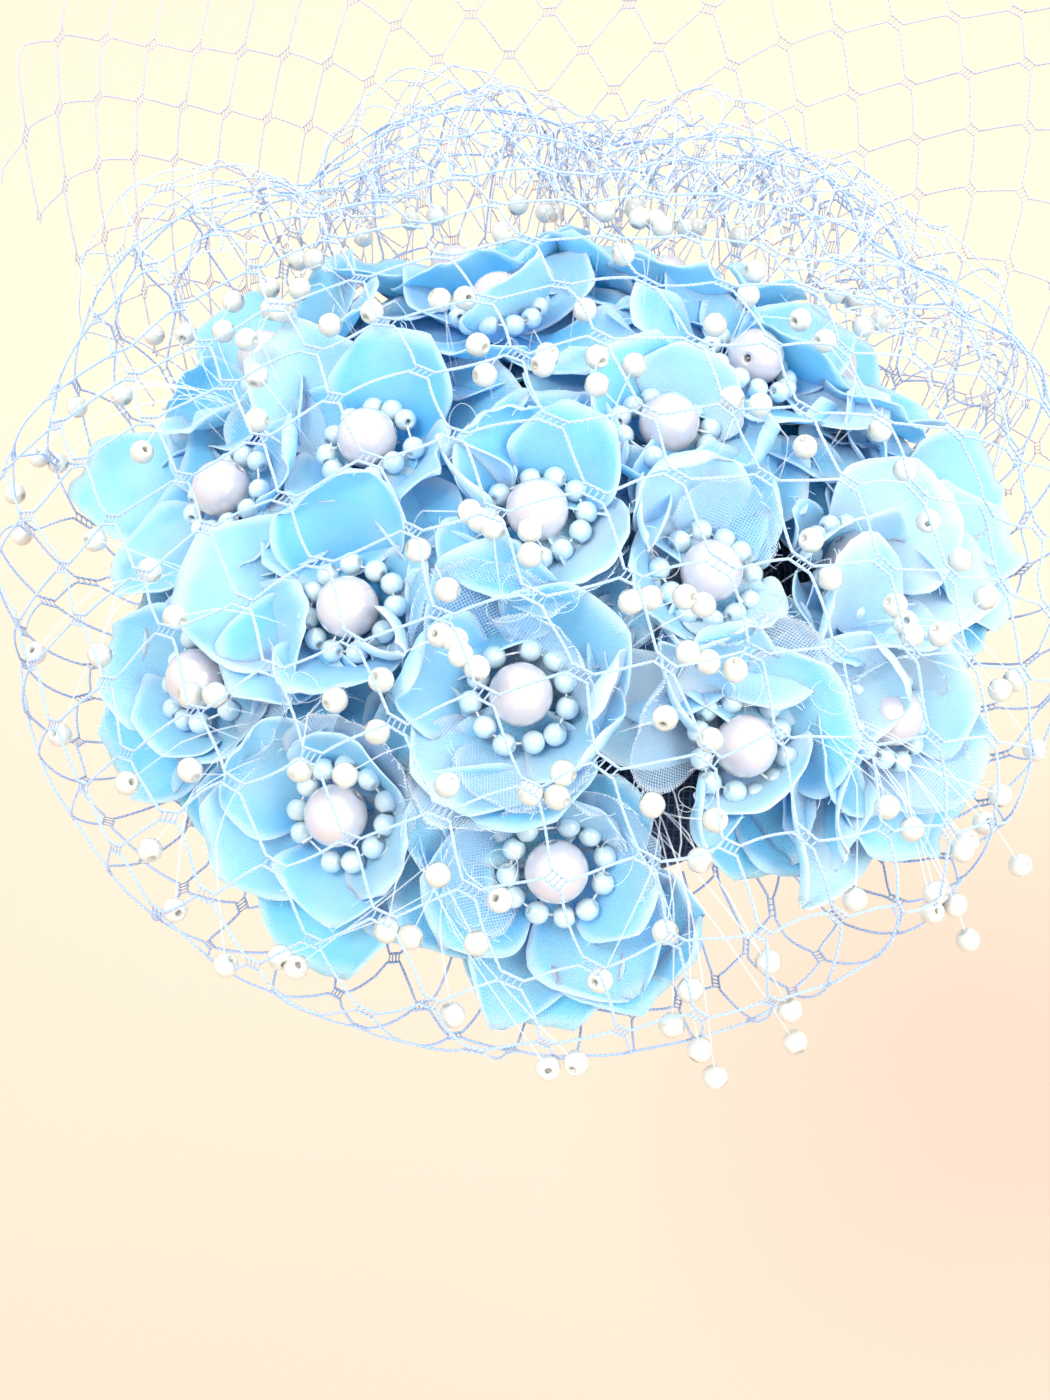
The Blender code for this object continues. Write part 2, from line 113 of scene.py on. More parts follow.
# Floor: a plain cream sheet well below the piece, which something else holds up.
FLOOR_DROP = 0.50
FLOOR_SIZE = 12.0
FLOOR_FAR = (0.605, 0.476, 0.362, 1.0)
FLOOR_NEAR = (0.525, 0.376, 0.299, 1.0)


class Part:
    """One output of a shader node. Sums and products of parts add the Math nodes that they need."""

    def __init__(self, look, socket):
        self.look, self.socket = look, socket

    def __add__(self, other):
        return self.look.maths("ADD", self, other)

    def __radd__(self, other):
        return self.look.maths("ADD", other, self)

    def __sub__(self, other):
        return self.look.maths("SUBTRACT", self, other)

    def __rsub__(self, other):
        return self.look.maths("SUBTRACT", other, self)

    def __mul__(self, other):
        return self.look.maths("MULTIPLY", self, other)

    def __rmul__(self, other):
        return self.look.maths("MULTIPLY", other, self)


class Look:
    """A material. Values that are the same all over go straight to the sockets of its Principled shader."""

    def __init__(self, name, **constants):
        self.material = bpy.data.materials.new(name)
        self.material.use_nodes = True
        self.tree = self.material.node_tree
        self.shader = self.tree.nodes["Principled BSDF"]
        for socket, value in constants.items():
            self.shader.inputs[socket.replace("_", " ")].default_value = value

    def node(self, kind, settings, values, output=0):
        """A node of any kind. Its settings come first, then the values or parts for its sockets."""
        made = self.tree.nodes.new(kind)
        for name, value in settings.items():
            setattr(made, name, value)
        for socket, value in values.items():
            if isinstance(value, Part):
                self.tree.links.new(value.socket, made.inputs[socket])
            else:
                made.inputs[socket].default_value = value
        return Part(self, made.outputs[output])

    def maths(self, operation, *values):
        """A Math node on the given values or parts."""
        return self.node("ShaderNodeMath", {"operation": operation}, dict(enumerate(values)))

    def blended(self, share, first, second):
        """A colour between two others."""
        return self.node("ShaderNodeMix", {"data_type": "RGBA"}, {0: share, 6: first, 7: second}, 2)

    def eased(self, value, low, high):
        """0 below low, 1 above high and a smooth step between them."""
        settings = {"interpolation_type": "SMOOTHSTEP"}
        return self.node("ShaderNodeMapRange", settings, {0: value, 1: low, 2: high})

    def cloudy(self, place, scale, detail=2.0):
        """Noise from 0 to 1 at a place."""
        values = {"Vector": place, "Scale": scale, "Detail": detail}
        return self.node("ShaderNodeTexNoise", {}, values)

    def place(self):
        """The point's place on the piece, in metres."""
        return self.node("ShaderNodeTexCoord", {}, {}, "Object")

    def across_and_along(self, uv_map):
        """The two coordinates of a UV map."""
        flat = self.node("ShaderNodeUVMap", {"uv_map": uv_map}, {})
        first = self.node("ShaderNodeSeparateXYZ", {}, {0: flat}, 0)
        second = self.node("ShaderNodeSeparateXYZ", {}, {0: flat}, 1)
        return first, second

    def relief(self, height, depth, strength=1.0):
        """Bumps the surface by a height of 0 to 1, depth metres high."""
        values = {"Height": height, "Distance": depth, "Strength": strength}
        self.feed("Normal", self.node("ShaderNodeBump", {}, values))

    def feed(self, socket, value):
        """Links a part to the shader."""
        self.tree.links.new(value.socket, self.shader.inputs[socket])


def pick_only(*pieces):
    """Selects the given objects alone, with the first one active."""
    bpy.ops.object.select_all(action="DESELECT")
    for piece in pieces:
        piece.select_set(True)
    bpy.context.view_layer.objects.active = pieces[0]


paper = Look("floor_paper", Roughness=0.9)
away = paper.node("ShaderNodeSeparateXYZ", {}, {0: paper.place()}, 1)
paper.feed("Base Color", paper.blended(paper.eased(away, -0.2, 0.6), FLOOR_NEAR, FLOOR_FAR))
bpy.ops.object.select_all(action="DESELECT")
bpy.ops.mesh.primitive_plane_add(size=FLOOR_SIZE, location=(0, 0, -FLOOR_DROP))
floor = bpy.context.object
floor.name = "floor"
floor.data.materials.append(paper.material)


# Base: a shallow dome of stiff dark net over a thin lining, with its edge bound in tape. Everything is
# sewn to it. It lies on the crown of a head, whose middle is HEAD_CENTRE.
HEAD_RADIUS = 0.088
HEAD_CENTRE = Vector((0, 0, -HEAD_RADIUS))
BASE_RADIUS = HEAD_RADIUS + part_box("base_dome")[1].z
BASE_HALF_ANGLE = math.asin(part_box("base_dome")[1].x / BASE_RADIUS)
LINING_UP = 0.0004
LINING_WALL = 0.0006
NET_PITCH = 0.0015
NET_THREAD = 0.00018
NET_STEP = 0.004
TAPE_RADIUS = 0.0011
TAPE_SIDES = 96
NAVY = (0.010, 0.022, 0.060, 1.0)
NAVY_LIGHT = (0.035, 0.075, 0.150, 1.0)
NAVY_THREAD = (0.080, 0.150, 0.260, 1.0)
TAPE_RIBS = 420
FULL_TURN = 6.28


def direction(lean, azimuth):
    """The unit vector that leans from +Z, and points at azimuth round it."""
    return Vector((math.sin(lean) * math.cos(azimuth), math.sin(lean) * math.sin(azimuth), math.cos(lean)))


def dressed(piece, name, look, slot, *nodes):
    """Names a finished piece, gives it its material and hides the nodes that it stands for."""
    piece.name = name
    piece.data.materials.clear()
    piece.data.materials.append(look.material)
    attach(piece, "root")
    if nodes:
        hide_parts(*nodes)
    return piece


def threads(runs, radius, resolution=1):
    """Round threads along lists of points. In their UV map, U counts metres along and V goes round."""
    curve = bpy.data.curves.new("threads", "CURVE")
    curve.dimensions = "3D"
    curve.bevel_depth = radius
    curve.bevel_resolution = resolution
    for run in runs:
        spline = curve.splines.new("POLY")
        spline.points.add(len(run) - 1)
        spline.points.foreach_set("co", [value for point in run for value in (*point, 1.0)])
    made = bpy.data.objects.new("threads", curve)
    bpy.context.scene.collection.objects.link(made)
    pick_only(made)
    bpy.ops.object.convert(target="MESH")
    made = bpy.context.object
    mesh = made.data
    sides = len(mesh.polygons) // sum(len(run) - 1 for run in runs)
    lengths = [sum((b - a).length for a, b in zip(run, run[1:])) for run in runs]
    metres = np.repeat(lengths, [4 * sides * (len(run) - 1) for run in runs])
    flat = np.zeros(2 * len(mesh.loops), np.float32)
    mesh.uv_layers[0].data.foreach_get("uv", flat)
    flat[0::2] *= metres
    mesh.uv_layers[0].data.foreach_set("uv", flat)
    mesh.shade_smooth()
    return made


def on_dome(across, along, radius):
    """A point of flat cloth laid on the head's ball at a radius."""
    flat = Vector((across, along))
    return HEAD_CENTRE + direction(flat.length / radius, math.atan2(along, across)) * radius


def base_net():
    """Two layers of stiff threads that cross at right angles over the dome."""
    runs = []
    for layer, turned in ((0, False), (1, True)):
        radius = BASE_RADIUS - NET_THREAD * (3 - 1.6 * layer)
        reach = radius * BASE_HALF_ANGLE - TAPE_RADIUS
        rows = int(reach / NET_PITCH)
        for k in range(-rows, rows + 1):
            side = k * NET_PITCH
            half = math.sqrt(max(0.0, reach**2 - side**2))
            steps = max(2, int(2 * half / NET_STEP))
            stretch = [half * (2 * step / steps - 1) for step in range(steps + 1)]
            places = [(side, t) if turned else (t, side) for t in stretch]
            runs.append([on_dome(*place, radius) for place in places])
    return threads(runs, NET_THREAD, 0)


def dome_cap(radius, wall):
    """A thin shell on the head's ball, cut off at the base's half angle."""
    bpy.ops.object.select_all(action="DESELECT")
    bpy.ops.mesh.primitive_uv_sphere_add(segments=64, ring_count=48, radius=radius, location=HEAD_CENTRE)
    cap = bpy.context.object
    bpy.ops.object.transform_apply(location=True, rotation=False, scale=False)
    cut_up = HEAD_CENTRE.z + radius * math.cos(BASE_HALF_ANGLE)
    bpy.ops.object.mode_set(mode="EDIT")
    bpy.ops.mesh.select_all(action="SELECT")
    bpy.ops.mesh.bisect(plane_co=(0, 0, cut_up), plane_no=(0, 0, 1), clear_inner=True)
    bpy.ops.object.mode_set(mode="OBJECT")
    wall_maker = cap.modifiers.new("wall", "SOLIDIFY")
    wall_maker.thickness = wall
    wall_maker.offset = 1.0
    bpy.ops.object.modifier_apply(modifier="wall")
    cap.data.shade_smooth()
    return cap


navy_net = Look("navy_net", Roughness=0.62, Sheen_Weight=0.2)
shade = navy_net.cloudy(navy_net.place(), 90.0)
navy_net.feed("Base Color", navy_net.blended(navy_net.eased(shade, 0.35, 0.75), NAVY_LIGHT, NAVY_THREAD))
around, length = navy_net.across_and_along("UVMap")
navy_net.relief(navy_net.maths("SINE", around * 9000.0 + length * FULL_TURN), 0.00004)
dressed(base_net(), "base_net", navy_net, "base_net", "base_dome")

navy_lining = Look("navy_lining", Roughness=0.85, Sheen_Weight=0.3)
place = navy_lining.place()
navy_lining.feed("Base Color", navy_lining.blended(navy_lining.cloudy(place, 60.0), NAVY, NAVY_LIGHT))
navy_lining.relief(navy_lining.cloudy(place, 1800.0), 0.0001)
lining = dome_cap(HEAD_RADIUS + LINING_UP, LINING_WALL)
dressed(lining, "base_lining", navy_lining, "base_net", "base_dome")

rim_lean = BASE_HALF_ANGLE - TAPE_RADIUS / BASE_RADIUS
bpy.ops.object.select_all(action="DESELECT")
bpy.ops.mesh.primitive_torus_add(
    major_segments=TAPE_SIDES,
    minor_segments=10,
    major_radius=(HEAD_RADIUS + TAPE_RADIUS) * math.sin(rim_lean),
    minor_radius=TAPE_RADIUS,
    location=(0, 0, HEAD_CENTRE.z + (HEAD_RADIUS + TAPE_RADIUS) * math.cos(rim_lean)),
)
tape = bpy.context.object
bpy.ops.object.transform_apply(location=True, rotation=False, scale=False)
tape.data.shade_smooth()
navy_tape = Look("navy_tape", Roughness=0.5, Sheen_Weight=0.4)
around, across = navy_tape.across_and_along("UVMap")
rib = navy_tape.maths("SINE", around * (FULL_TURN * TAPE_RIBS))
navy_tape.feed("Base Color", navy_tape.blended(rib * 0.3 + 0.4, NAVY, NAVY_LIGHT))
navy_tape.relief(rib, 0.00008)
dressed(tape, "base_tape", navy_tape, "base_net", "base_dome")


# Comb: a clear plastic side comb, sewn under the front of the base by its spine. Its node is a good
# shape already, so it only takes its finish here.
comb_plastic = Look("comb_plastic", Roughness=0.16, IOR=1.46, Transmission_Weight=0.55, Coat_Weight=0.3)
cloud = comb_plastic.cloudy(comb_plastic.place(), 120.0)
comb_plastic.feed("Base Color", comb_plastic.blended(cloud, (0.86, 0.90, 0.95, 1.0), (0.72, 0.80, 0.90, 1.0)))
comb_plastic.relief(comb_plastic.cloudy(comb_plastic.place(), 400.0), 0.00006)
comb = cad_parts["hair_comb"]
comb.data.materials.clear()
comb.data.materials.append(comb_plastic.material)


# Petals: each flower has two rounds of satin petals with heat-curled rims, and on some flowers others of
# sheer gauze over them. All are stitched through the middle of the flower. Those in the photograph lie where
# it has them. A few fibres hang loose at the cut rims.
FLOWERS = sorted(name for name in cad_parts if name.startswith("flower_"))
CUP_FLOOR = 0.102
PETALS = 5
PETAL_START = 0.0025
PETAL_SINK = 0.0014
PETAL_COLUMNS = 14
PETAL_ROWS = 18
SATIN_WALL = 0.0003
GAUZE_WALL = 0.00015
PETALS_TOP = 0.1190
FILL_LENGTH = 0.0265
FILL_WIDTH = 0.0275
FILL_APART = math.radians(42)
UNDER_LENGTH = 0.0300
UNDER_WIDTH = 0.0310
UNDER_LEVELS = (0.1040, 0.1065)
FILL_LEVELS = (0.1125, 0.1180)
FILL_LEVELS_UNDER = (0.1085, 0.1120)
FILL_WIDTHS = (0.9, 1.1)
FILL_DYES = (0.0, 0.05, 0.10, 0.20, 0.45)
FILL_DRIFT = 0.12
GAP_LEVEL = 0.104
GAP_TURNS = (0.0, 0.35, -0.35, 0.7, -0.7)
GAP_CUTS = (1.0, 0.8, 0.65, 0.5)
GAPS_SEEN = ((612, 762), (786, 548), (790, 575), (690, 850))

FIBRE_RADIUS = 0.00006
FIBRE_HALVES = (0.0004, 0.0012)
FIBRES_SATIN = 3
FIBRES_GAUZE = 14

# What each petal's curl is drawn from: its bend along, how much of the cut's own rolls it takes, the waves
# and height of its ruffled sides, and its twist.
BENDS = (0.35, 0.85)
TIP_ROLLS = (0.7, 1.2)
ACROSS_BENDS = (0.7, 1.3)
SIDE_ROLLS = (-0.4, 1.4)
SIDE_WAVES = (1.4, 2.6)
SIDE_RUFFLES = (0.0004, 0.0014)
TWIST = 0.0022
TIP_ROLLS_FROM = 0.76
SIDE_ROLLS_FROM = 0.72
WRINKLE = 0.0007
WRINKLE_SCALE = 90

# Corners on the rim of a petal's outer half, each with its neighbour further in.
RIM_PAIRS = [
    (row * (PETAL_COLUMNS + 1) + side, row * (PETAL_COLUMNS + 1) + inner)
    for row in range(PETAL_ROWS // 2, PETAL_ROWS)
    for side, inner in ((0, 1), (PETAL_COLUMNS, PETAL_COLUMNS - 1))
]
LAST_ROW = PETAL_ROWS * (PETAL_COLUMNS + 1)
RIM_PAIRS += [(LAST_ROW + side, LAST_ROW + side - PETAL_COLUMNS - 1) for side in range(PETAL_COLUMNS + 1)]

# Half widths of a petal from its root to its tip, as shares of the widest.
ROUND_OUTLINE = (0.26, 0.46, 0.68, 0.86, 0.97, 1.00, 0.97, 0.88, 0.72, 0.48)
POINTED_OUTLINE = (0.26, 0.48, 0.73, 0.92, 1.00, 0.97, 0.86, 0.67, 0.42, 0.12)
ROUND_TIP = 0.16
POINTED_TIP = 0.02

# How far a cut of petal is bent across, how far its sides roll, and how far its tip rolls, in radians. A
# tip or side that rolls over shows its pale back.
PETAL_CUTS = {
    # outline, tip, across, sides, tip roll, wall
    "round": (ROUND_OUTLINE, ROUND_TIP, 0.45, 0.5, -0.5, SATIN_WALL),
    "rolled": (ROUND_OUTLINE, ROUND_TIP, 0.60, 0.7, 1.9, SATIN_WALL),
    "pointed": (POINTED_OUTLINE, POINTED_TIP, 0.50, 0.4, -0.4, SATIN_WALL),
    "folded": (POINTED_OUTLINE, POINTED_TIP, 1.70, 0.3, 0.2, SATIN_WALL),
    "gauze": (ROUND_OUTLINE, ROUND_TIP, 0.50, 0.5, 0.5, GAUZE_WALL),
}

# The petals that the photograph shows: the pixel of each tip, how far it is from the head's middle, how
# wide it is, and how pale it is painted: partly the cloth's own paler tone, partly painted light.
PETALS_SEEN = {
    "flower_01": (
        (268, 342, 0.1165, 0.028, "round", 0.35), (402, 328, 0.1165, 0.028, "round", 0.00),
        (300, 505, 0.1090, 0.024, "round", 0.05), (440, 470, 0.1120, 0.022, "pointed", 0.30),
    ),
    "flower_02": (
        (498, 410, 0.1170, 0.026, "rolled", 0.05), (592, 408, 0.1175, 0.024, "round", 0.10),
        (437, 435, 0.1175, 0.018, "folded", 0.65), (612, 565, 0.1140, 0.026, "round", 0.30),
        (468, 590, 0.1110, 0.028, "round", 0.00), (575, 600, 0.1150, 0.024, "gauze", 0.20),
    ),
    "flower_03": (
        (180, 376, 0.1160, 0.026, "rolled", 0.10), (84, 470, 0.1130, 0.028, "round", 0.08),
        (112, 585, 0.1120, 0.028, "round", 0.12), (282, 432, 0.1150, 0.022, "rolled", 0.12),
        (262, 552, 0.1085, 0.024, "round", 0.00),
    ),
    "flower_04": (
        (322, 486, 0.1165, 0.029, "rolled", 0.02), (178, 575, 0.1150, 0.033, "round", 0.25),
        (222, 676, 0.1105, 0.026, "round", 0.02), (318, 694, 0.1140, 0.028, "round", 0.18),
        (404, 652, 0.1160, 0.018, "folded", 0.60), (430, 590, 0.1090, 0.024, "round", 0.00),
    ),
    "flower_05": (
        (422, 664, 0.1165, 0.024, "rolled", 0.20), (436, 800, 0.1140, 0.027, "round", 0.30),
        (518, 832, 0.1135, 0.028, "round", 0.00), (594, 742, 0.1150, 0.024, "rolled", 0.25),
        (604, 603, 0.1130, 0.030, "round", 0.05), (448, 566, 0.1160, 0.030, "gauze", 0.10),
        (432, 826, 0.1165, 0.024, "gauze", 0.55), (524, 812, 0.1160, 0.026, "gauze", 0.25),
        (566, 640, 0.1165, 0.026, "gauze", 0.30),
    ),
    "flower_06": (
        (612, 690, 0.1165, 0.022, "rolled", 0.45), (660, 642, 0.1180, 0.020, "folded", 0.55),
        (852, 700, 0.1150, 0.031, "round", 0.08), (898, 672, 0.1170, 0.024, "rolled", 0.50),
        (728, 622, 0.1150, 0.022, "round", 0.15), (778, 800, 0.1130, 0.027, "round", 0.40),
        (708, 852, 0.1155, 0.014, "folded", 0.45), (645, 708, 0.1165, 0.027, "gauze", 0.30),
        (806, 622, 0.1170, 0.024, "gauze", 0.75),
    ),
    "flower_07": (
        (498, 1030, 0.1080, 0.023, "pointed", 0.15), (636, 996, 0.1090, 0.029, "pointed", 0.20),
        (424, 912, 0.1120, 0.027, "round", 0.10), (655, 908, 0.1130, 0.022, "round", 0.20),
        (690, 955, 0.1120, 0.021, "rolled", 0.20), (575, 800, 0.1120, 0.024, "round", 0.05),
        (646, 828, 0.1160, 0.025, "gauze", 0.10), (440, 880, 0.1150, 0.026, "gauze", 0.10),
        (560, 800, 0.1160, 0.024, "gauze", 0.05),
    ),
    "flower_08": (
        (335, 928, 0.1110, 0.028, "pointed", 0.15), (206, 842, 0.1110, 0.028, "round", 0.18),
        (228, 762, 0.1155, 0.026, "rolled", 0.10), (402, 872, 0.1120, 0.023, "round", 0.25),
        (350, 738, 0.1130, 0.026, "round", 0.02), (338, 716, 0.1160, 0.026, "gauze", 0.50),
        (400, 770, 0.1150, 0.022, "gauze", 0.20),
    ),
    "flower_09": (
        (148, 745, 0.1110, 0.026, "round", 0.20), (104, 655, 0.1120, 0.026, "round", 0.10),
        (222, 760, 0.1100, 0.025, "round", 0.20), (168, 600, 0.1090, 0.026, "round", 0.05),
        (280, 722, 0.1130, 0.024, "gauze", 0.40),
    ),
    "flower_10": (
        (712, 352, 0.1170, 0.025, "round", 0.40), (760, 432, 0.1160, 0.024, "rolled", 0.20),
        (648, 545, 0.1180, 0.014, "folded", 0.50), (622, 338, 0.1150, 0.026, "round", 0.05),
        (575, 440, 0.1100, 0.026, "round", 0.00),
    ),
    "flower_11": (
        (694, 466, 0.1180, 0.026, "rolled", 0.50), (766, 628, 0.1140, 0.022, "round", 0.50),
        (690, 652, 0.1130, 0.022, "pointed", 0.40), (640, 600, 0.1130, 0.026, "round", 0.10),
        (750, 484, 0.1165, 0.022, "gauze", 0.05), (745, 640, 0.1150, 0.024, "gauze", 0.60),
    ),
    "flower_12": (
        (876, 512, 0.1170, 0.030, "round", 0.50), (990, 575, 0.1150, 0.029, "round", 0.40),
        (944, 486, 0.1190, 0.030, "round", 0.45),
        (930, 652, 0.1150, 0.026, "round", 0.30), (830, 655, 0.1110, 0.024, "round", 0.00),
    ),
    "flower_13": (
        (884, 442, 0.1140, 0.026, "round", 0.00), (990, 462, 0.1150, 0.026, "round", 0.20),
        (1012, 545, 0.1140, 0.027, "round", 0.35), (950, 600, 0.1110, 0.026, "round", 0.10),
    ),
    "flower_14": (
        (968, 672, 0.1160, 0.029, "round", 0.45), (985, 770, 0.1140, 0.027, "round", 0.40),
        (846, 858, 0.1165, 0.015, "folded", 0.55), (890, 862, 0.1110, 0.027, "round", 0.05),
        (800, 905, 0.1120, 0.027, "pointed", 0.50), (830, 790, 0.1115, 0.026, "round", 0.00),
        (968, 800, 0.1160, 0.026, "gauze", 0.50), (930, 660, 0.1175, 0.024, "gauze", 0.60),
        (850, 540, 0.1190, 0.031, "round", 0.45),
    ),
    "flower_15": ((522, 270, 0.1170, 0.025, "round", 0.35), (435, 352, 0.1140, 0.026, "round", 0.05)),
    "flower_20": (
        (342, 252, 0.1170, 0.026, "round", 0.08), (216, 300, 0.1130, 0.025, "round", 0.30),
        (374, 298, 0.1140, 0.027, "round", 0.05),
    ),
}


def between(values, share):
    """The value at a share of the way along an evenly spaced table."""
    place = min(max(share, 0.0), 1.0) * (len(values) - 1)
    low = min(int(place), len(values) - 2)
    return values[low] + (values[low + 1] - values[low]) * (place - low)


def eased_in(value, low, high):
    """0 below low, 1 above high and a smooth step between them."""
    share = min(max((value - low) / (high - low), 0.0), 1.0)
    return share * share * (3 - 2 * share)


def pick_corners(piece, chosen):
    """In edit mode, selects the corners whose place passes the test, and the edges and faces between them."""
    bpy.ops.mesh.select_mode(type="VERT")
    bpy.ops.mesh.select_all(action="DESELECT")
    maker = bmesh.from_edit_mesh(piece.data)
    for corner in maker.verts:
        corner.select = chosen(corner.co)
    maker.select_flush_mode()
    bmesh.update_edit_mesh(piece.data)


def petal_blank(outline, tip_round):
    """A flat petal of length 1 along +Y: a grid whose rows are drawn in to the outline. The grid's own UV
    map is shares of the petal."""
    bpy.ops.object.select_all(action="DESELECT")
    bpy.ops.mesh.primitive_grid_add(
        x_subdivisions=PETAL_COLUMNS, y_subdivisions=PETAL_ROWS, size=1, location=(0, 0.5, 0)
    )
    blank = bpy.context.object
    bpy.ops.object.transform_apply(location=True, rotation=False, scale=False)
    blank.data.uv_layers[0].name = "shares"
    bpy.ops.object.mode_set(mode="EDIT")
    for row in range(PETAL_ROWS + 1):
        up = row / PETAL_ROWS
        pick_corners(blank, lambda place: abs(place.y - up) < 0.2 / PETAL_ROWS)
        bpy.ops.transform.resize(value=(between(outline, up), 1, 1), center_override=(0, up, 0))
    bpy.ops.object.mode_set(mode="OBJECT")
    for corner in blank.data.vertices:
        corner.co.y -= tip_round * (2 * corner.co.x) ** 2 * corner.co.y
    return blank


def rolled_out(slope, steps):
    """Points along a curve of length 1 whose slope at each share of the way is given, as (out, up)."""
    points = [Vector((0, 0))]
    for step in range(steps):
        angle = slope((step + 0.5) / steps)
        points.append(points[-1] + Vector((math.cos(angle), math.sin(angle))) / steps)
    return points


def curled_petal(cut, width, reach, draw):
    """A copy of the cut's blank, curled by heat. Its tip lies at reach, as (out, up) from its root."""
    outline, tip_round, across, sides, tip_roll, wall = PETAL_CUTS[cut]
    blank = BLANKS[cut]
    petal = blank.copy()
    petal.data = blank.data.copy()
    bpy.context.scene.collection.objects.link(petal)
    bend = draw.uniform(*BENDS)
    tip_roll *= draw.uniform(*TIP_ROLLS)
    across *= draw.uniform(*ACROSS_BENDS)
    sides *= draw.uniform(*SIDE_ROLLS)

    def slope_along(share):
        return bend * share + tip_roll * eased_in(share, TIP_ROLLS_FROM, 1.0)

    def slope_across(share):
        return across * share + sides * eased_in(share, SIDE_ROLLS_FROM, 1.0)

    length_way = rolled_out(slope_along, PETAL_ROWS * 2)
    half_way = rolled_out(slope_across, PETAL_COLUMNS)
    scale = reach.length / length_way[-1].length
    lean = math.atan2(reach.y, reach.x) - math.atan2(length_way[-1].y, length_way[-1].x)
    waves, phase = draw.uniform(*SIDE_WAVES), draw.uniform(0, 2 * math.pi)
    ruffle, twist = draw.uniform(*SIDE_RUFFLES), draw.uniform(-TWIST, TWIST)
    seat = Vector((draw.uniform(0, 50), draw.uniform(0, 50), 0))
    cloth = petal.data.uv_layers.new(name="cloth")
    for loop in petal.data.loops:
        flat = petal.data.vertices[loop.vertex_index].co
        cloth.data[loop.index].uv = (flat.x * width, flat.y * scale)
    for corner in petal.data.vertices:
        share = corner.co.y
        half = max(between(outline, share) * 0.5, 1e-4)
        side = min(abs(corner.co.x) / half, 1.0)
        middle = between(length_way, share)
        ahead = between(length_way, share + 0.02) - between(length_way, share - 0.02)
        ahead = ahead.normalized() if ahead.length else Vector((1, 0))
        offset, rise = between(half_way, side) * half * width
        rise *= eased_in(share, 0.0, 0.45)
        rise += ruffle * math.sin(waves * math.pi * side + phase) * share**2 * side
        rise += ruffle * math.sin(9.0 * share + phase) * side**3
        rise += twist * math.copysign(side, corner.co.x) * share
        flat = Vector((corner.co.x * width, share * scale, 0))
        rise += WRINKLE * noise.noise(flat * WRINKLE_SCALE + seat)
        profile = middle * scale + Vector((-ahead.y, ahead.x)) * rise
        profile.rotate(Matrix.Rotation(lean, 2))
        corner.co = (math.copysign(offset, corner.co.x), profile.x, profile.y)
    pick_only(petal)
    wall_maker = petal.modifiers.new("wall", "SOLIDIFY")
    wall_maker.thickness = wall
    wall_maker.offset = 0.0
    bpy.ops.object.modifier_apply(modifier="wall")
    petal.data.shade_smooth()
    return petal


def axis_of(node):
    """The axis of a flower, from its pearl's top pole, which is the corner farthest from the head."""
    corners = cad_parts[node].data.vertices
    return max((corner.co - HEAD_CENTRE for corner in corners), key=lambda out: out.length).normalized()


def flower_place(axis):
    """A flower's frame: its origin on the axis at the cup's floor, Z along the axis, Y uphill."""
    uphill = Vector((0, 0, 1)) - axis * axis.z
    if uphill.length < 0.01:
        uphill = Vector((0, 1, 0))
    uphill.normalize()
    turned = Matrix((uphill.cross(axis), uphill, axis)).transposed().to_4x4()
    return Matrix.Translation(HEAD_CENTRE + axis * CUP_FLOOR) @ turned


def seen_point(pixel, level):
    """The point behind a pixel of the photograph that is level from HEAD_CENTRE and nearest the camera."""
    sight = line_of_sight(pixel)
    to_head = CAMERA_PLACE - HEAD_CENTRE
    along = -to_head.dot(sight)
    room = along**2 - to_head.length_squared + level**2
    return CAMERA_PLACE + sight * (along - math.sqrt(max(0.0, room)))


def round_tip(axis, place, angle, length, level):
    """The tip of a petal that runs out from a flower at an angle, along the head's ball."""
    way = place.to_3x3() @ Vector((math.cos(angle), math.sin(angle), 0))
    lean = length / GAP_LEVEL
    return HEAD_CENTRE + (axis * math.cos(lean) + way * math.sin(lean)) * level


def hides_gap(place, angle, length, width):
    """Whether a petal at that angle lies over a gap between the flowers that the photograph shows."""
    for gap in GAPS:
        local = place.inverted() @ gap
        along = local.x * math.cos(angle) + local.y * math.sin(angle)
        aside = abs(local.y * math.cos(angle) - local.x * math.sin(angle))
        if 0 < along < length and aside < between(ROUND_OUTLINE, along / length) * width / 2:
            return True
    return False


def clear_of_gaps(place, angle, length, width):
    """The petal's angle and length, turned or cut short until it leaves the gaps open."""
    for cut in GAP_CUTS:
        for turn in GAP_TURNS:
            if not hides_gap(place, angle + turn, length * cut, width * cut):
                return angle + turn, length * cut, width * cut
    return None


def kept_under(point):
    """The point, pressed down where it would stand higher than the other petals."""
    out = point - HEAD_CENTRE
    if out.length > PETALS_TOP:
        out *= (PETALS_TOP + (out.length - PETALS_TOP) * 0.2) / out.length
    return HEAD_CENTRE + out


def set_petal(place, tip, width, cut, dye, draw):
    """A curled petal that runs from a flower's middle out to its tip. Its last argument is how pale it is
    painted: partly the cloth's own paler tone, partly painted light.
    """
    local = place.inverted() @ tip
    reach = Vector((local.xy.length - PETAL_START, local.z + PETAL_SINK))
    petal = curled_petal(cut, width, reach, draw)
    # How pale the petal is painted, kept on its corners: partly its own tone, partly painted light.
    tones_and_light = petal.data.attributes.new("dye", "FLOAT", "POINT")
    tones_and_light.data.foreach_set("value", [dye] * len(petal.data.vertices))
    angle = math.atan2(local.y, local.x) - math.pi / 2
    root = Matrix.Translation((0, PETAL_START, -PETAL_SINK))
    petal.data.transform(place @ Matrix.Rotation(angle, 4, "Z") @ root)
    for corner in petal.data.vertices:
        corner.co = kept_under(corner.co)
    return petal


def joined(parts):
    """Several objects as one."""
    pick_only(*parts)
    bpy.ops.object.join()
    return bpy.context.object


def removed(parts):
    """Deletes objects that were only patterns for copies."""
    for part in parts:
        bpy.data.objects.remove(part)


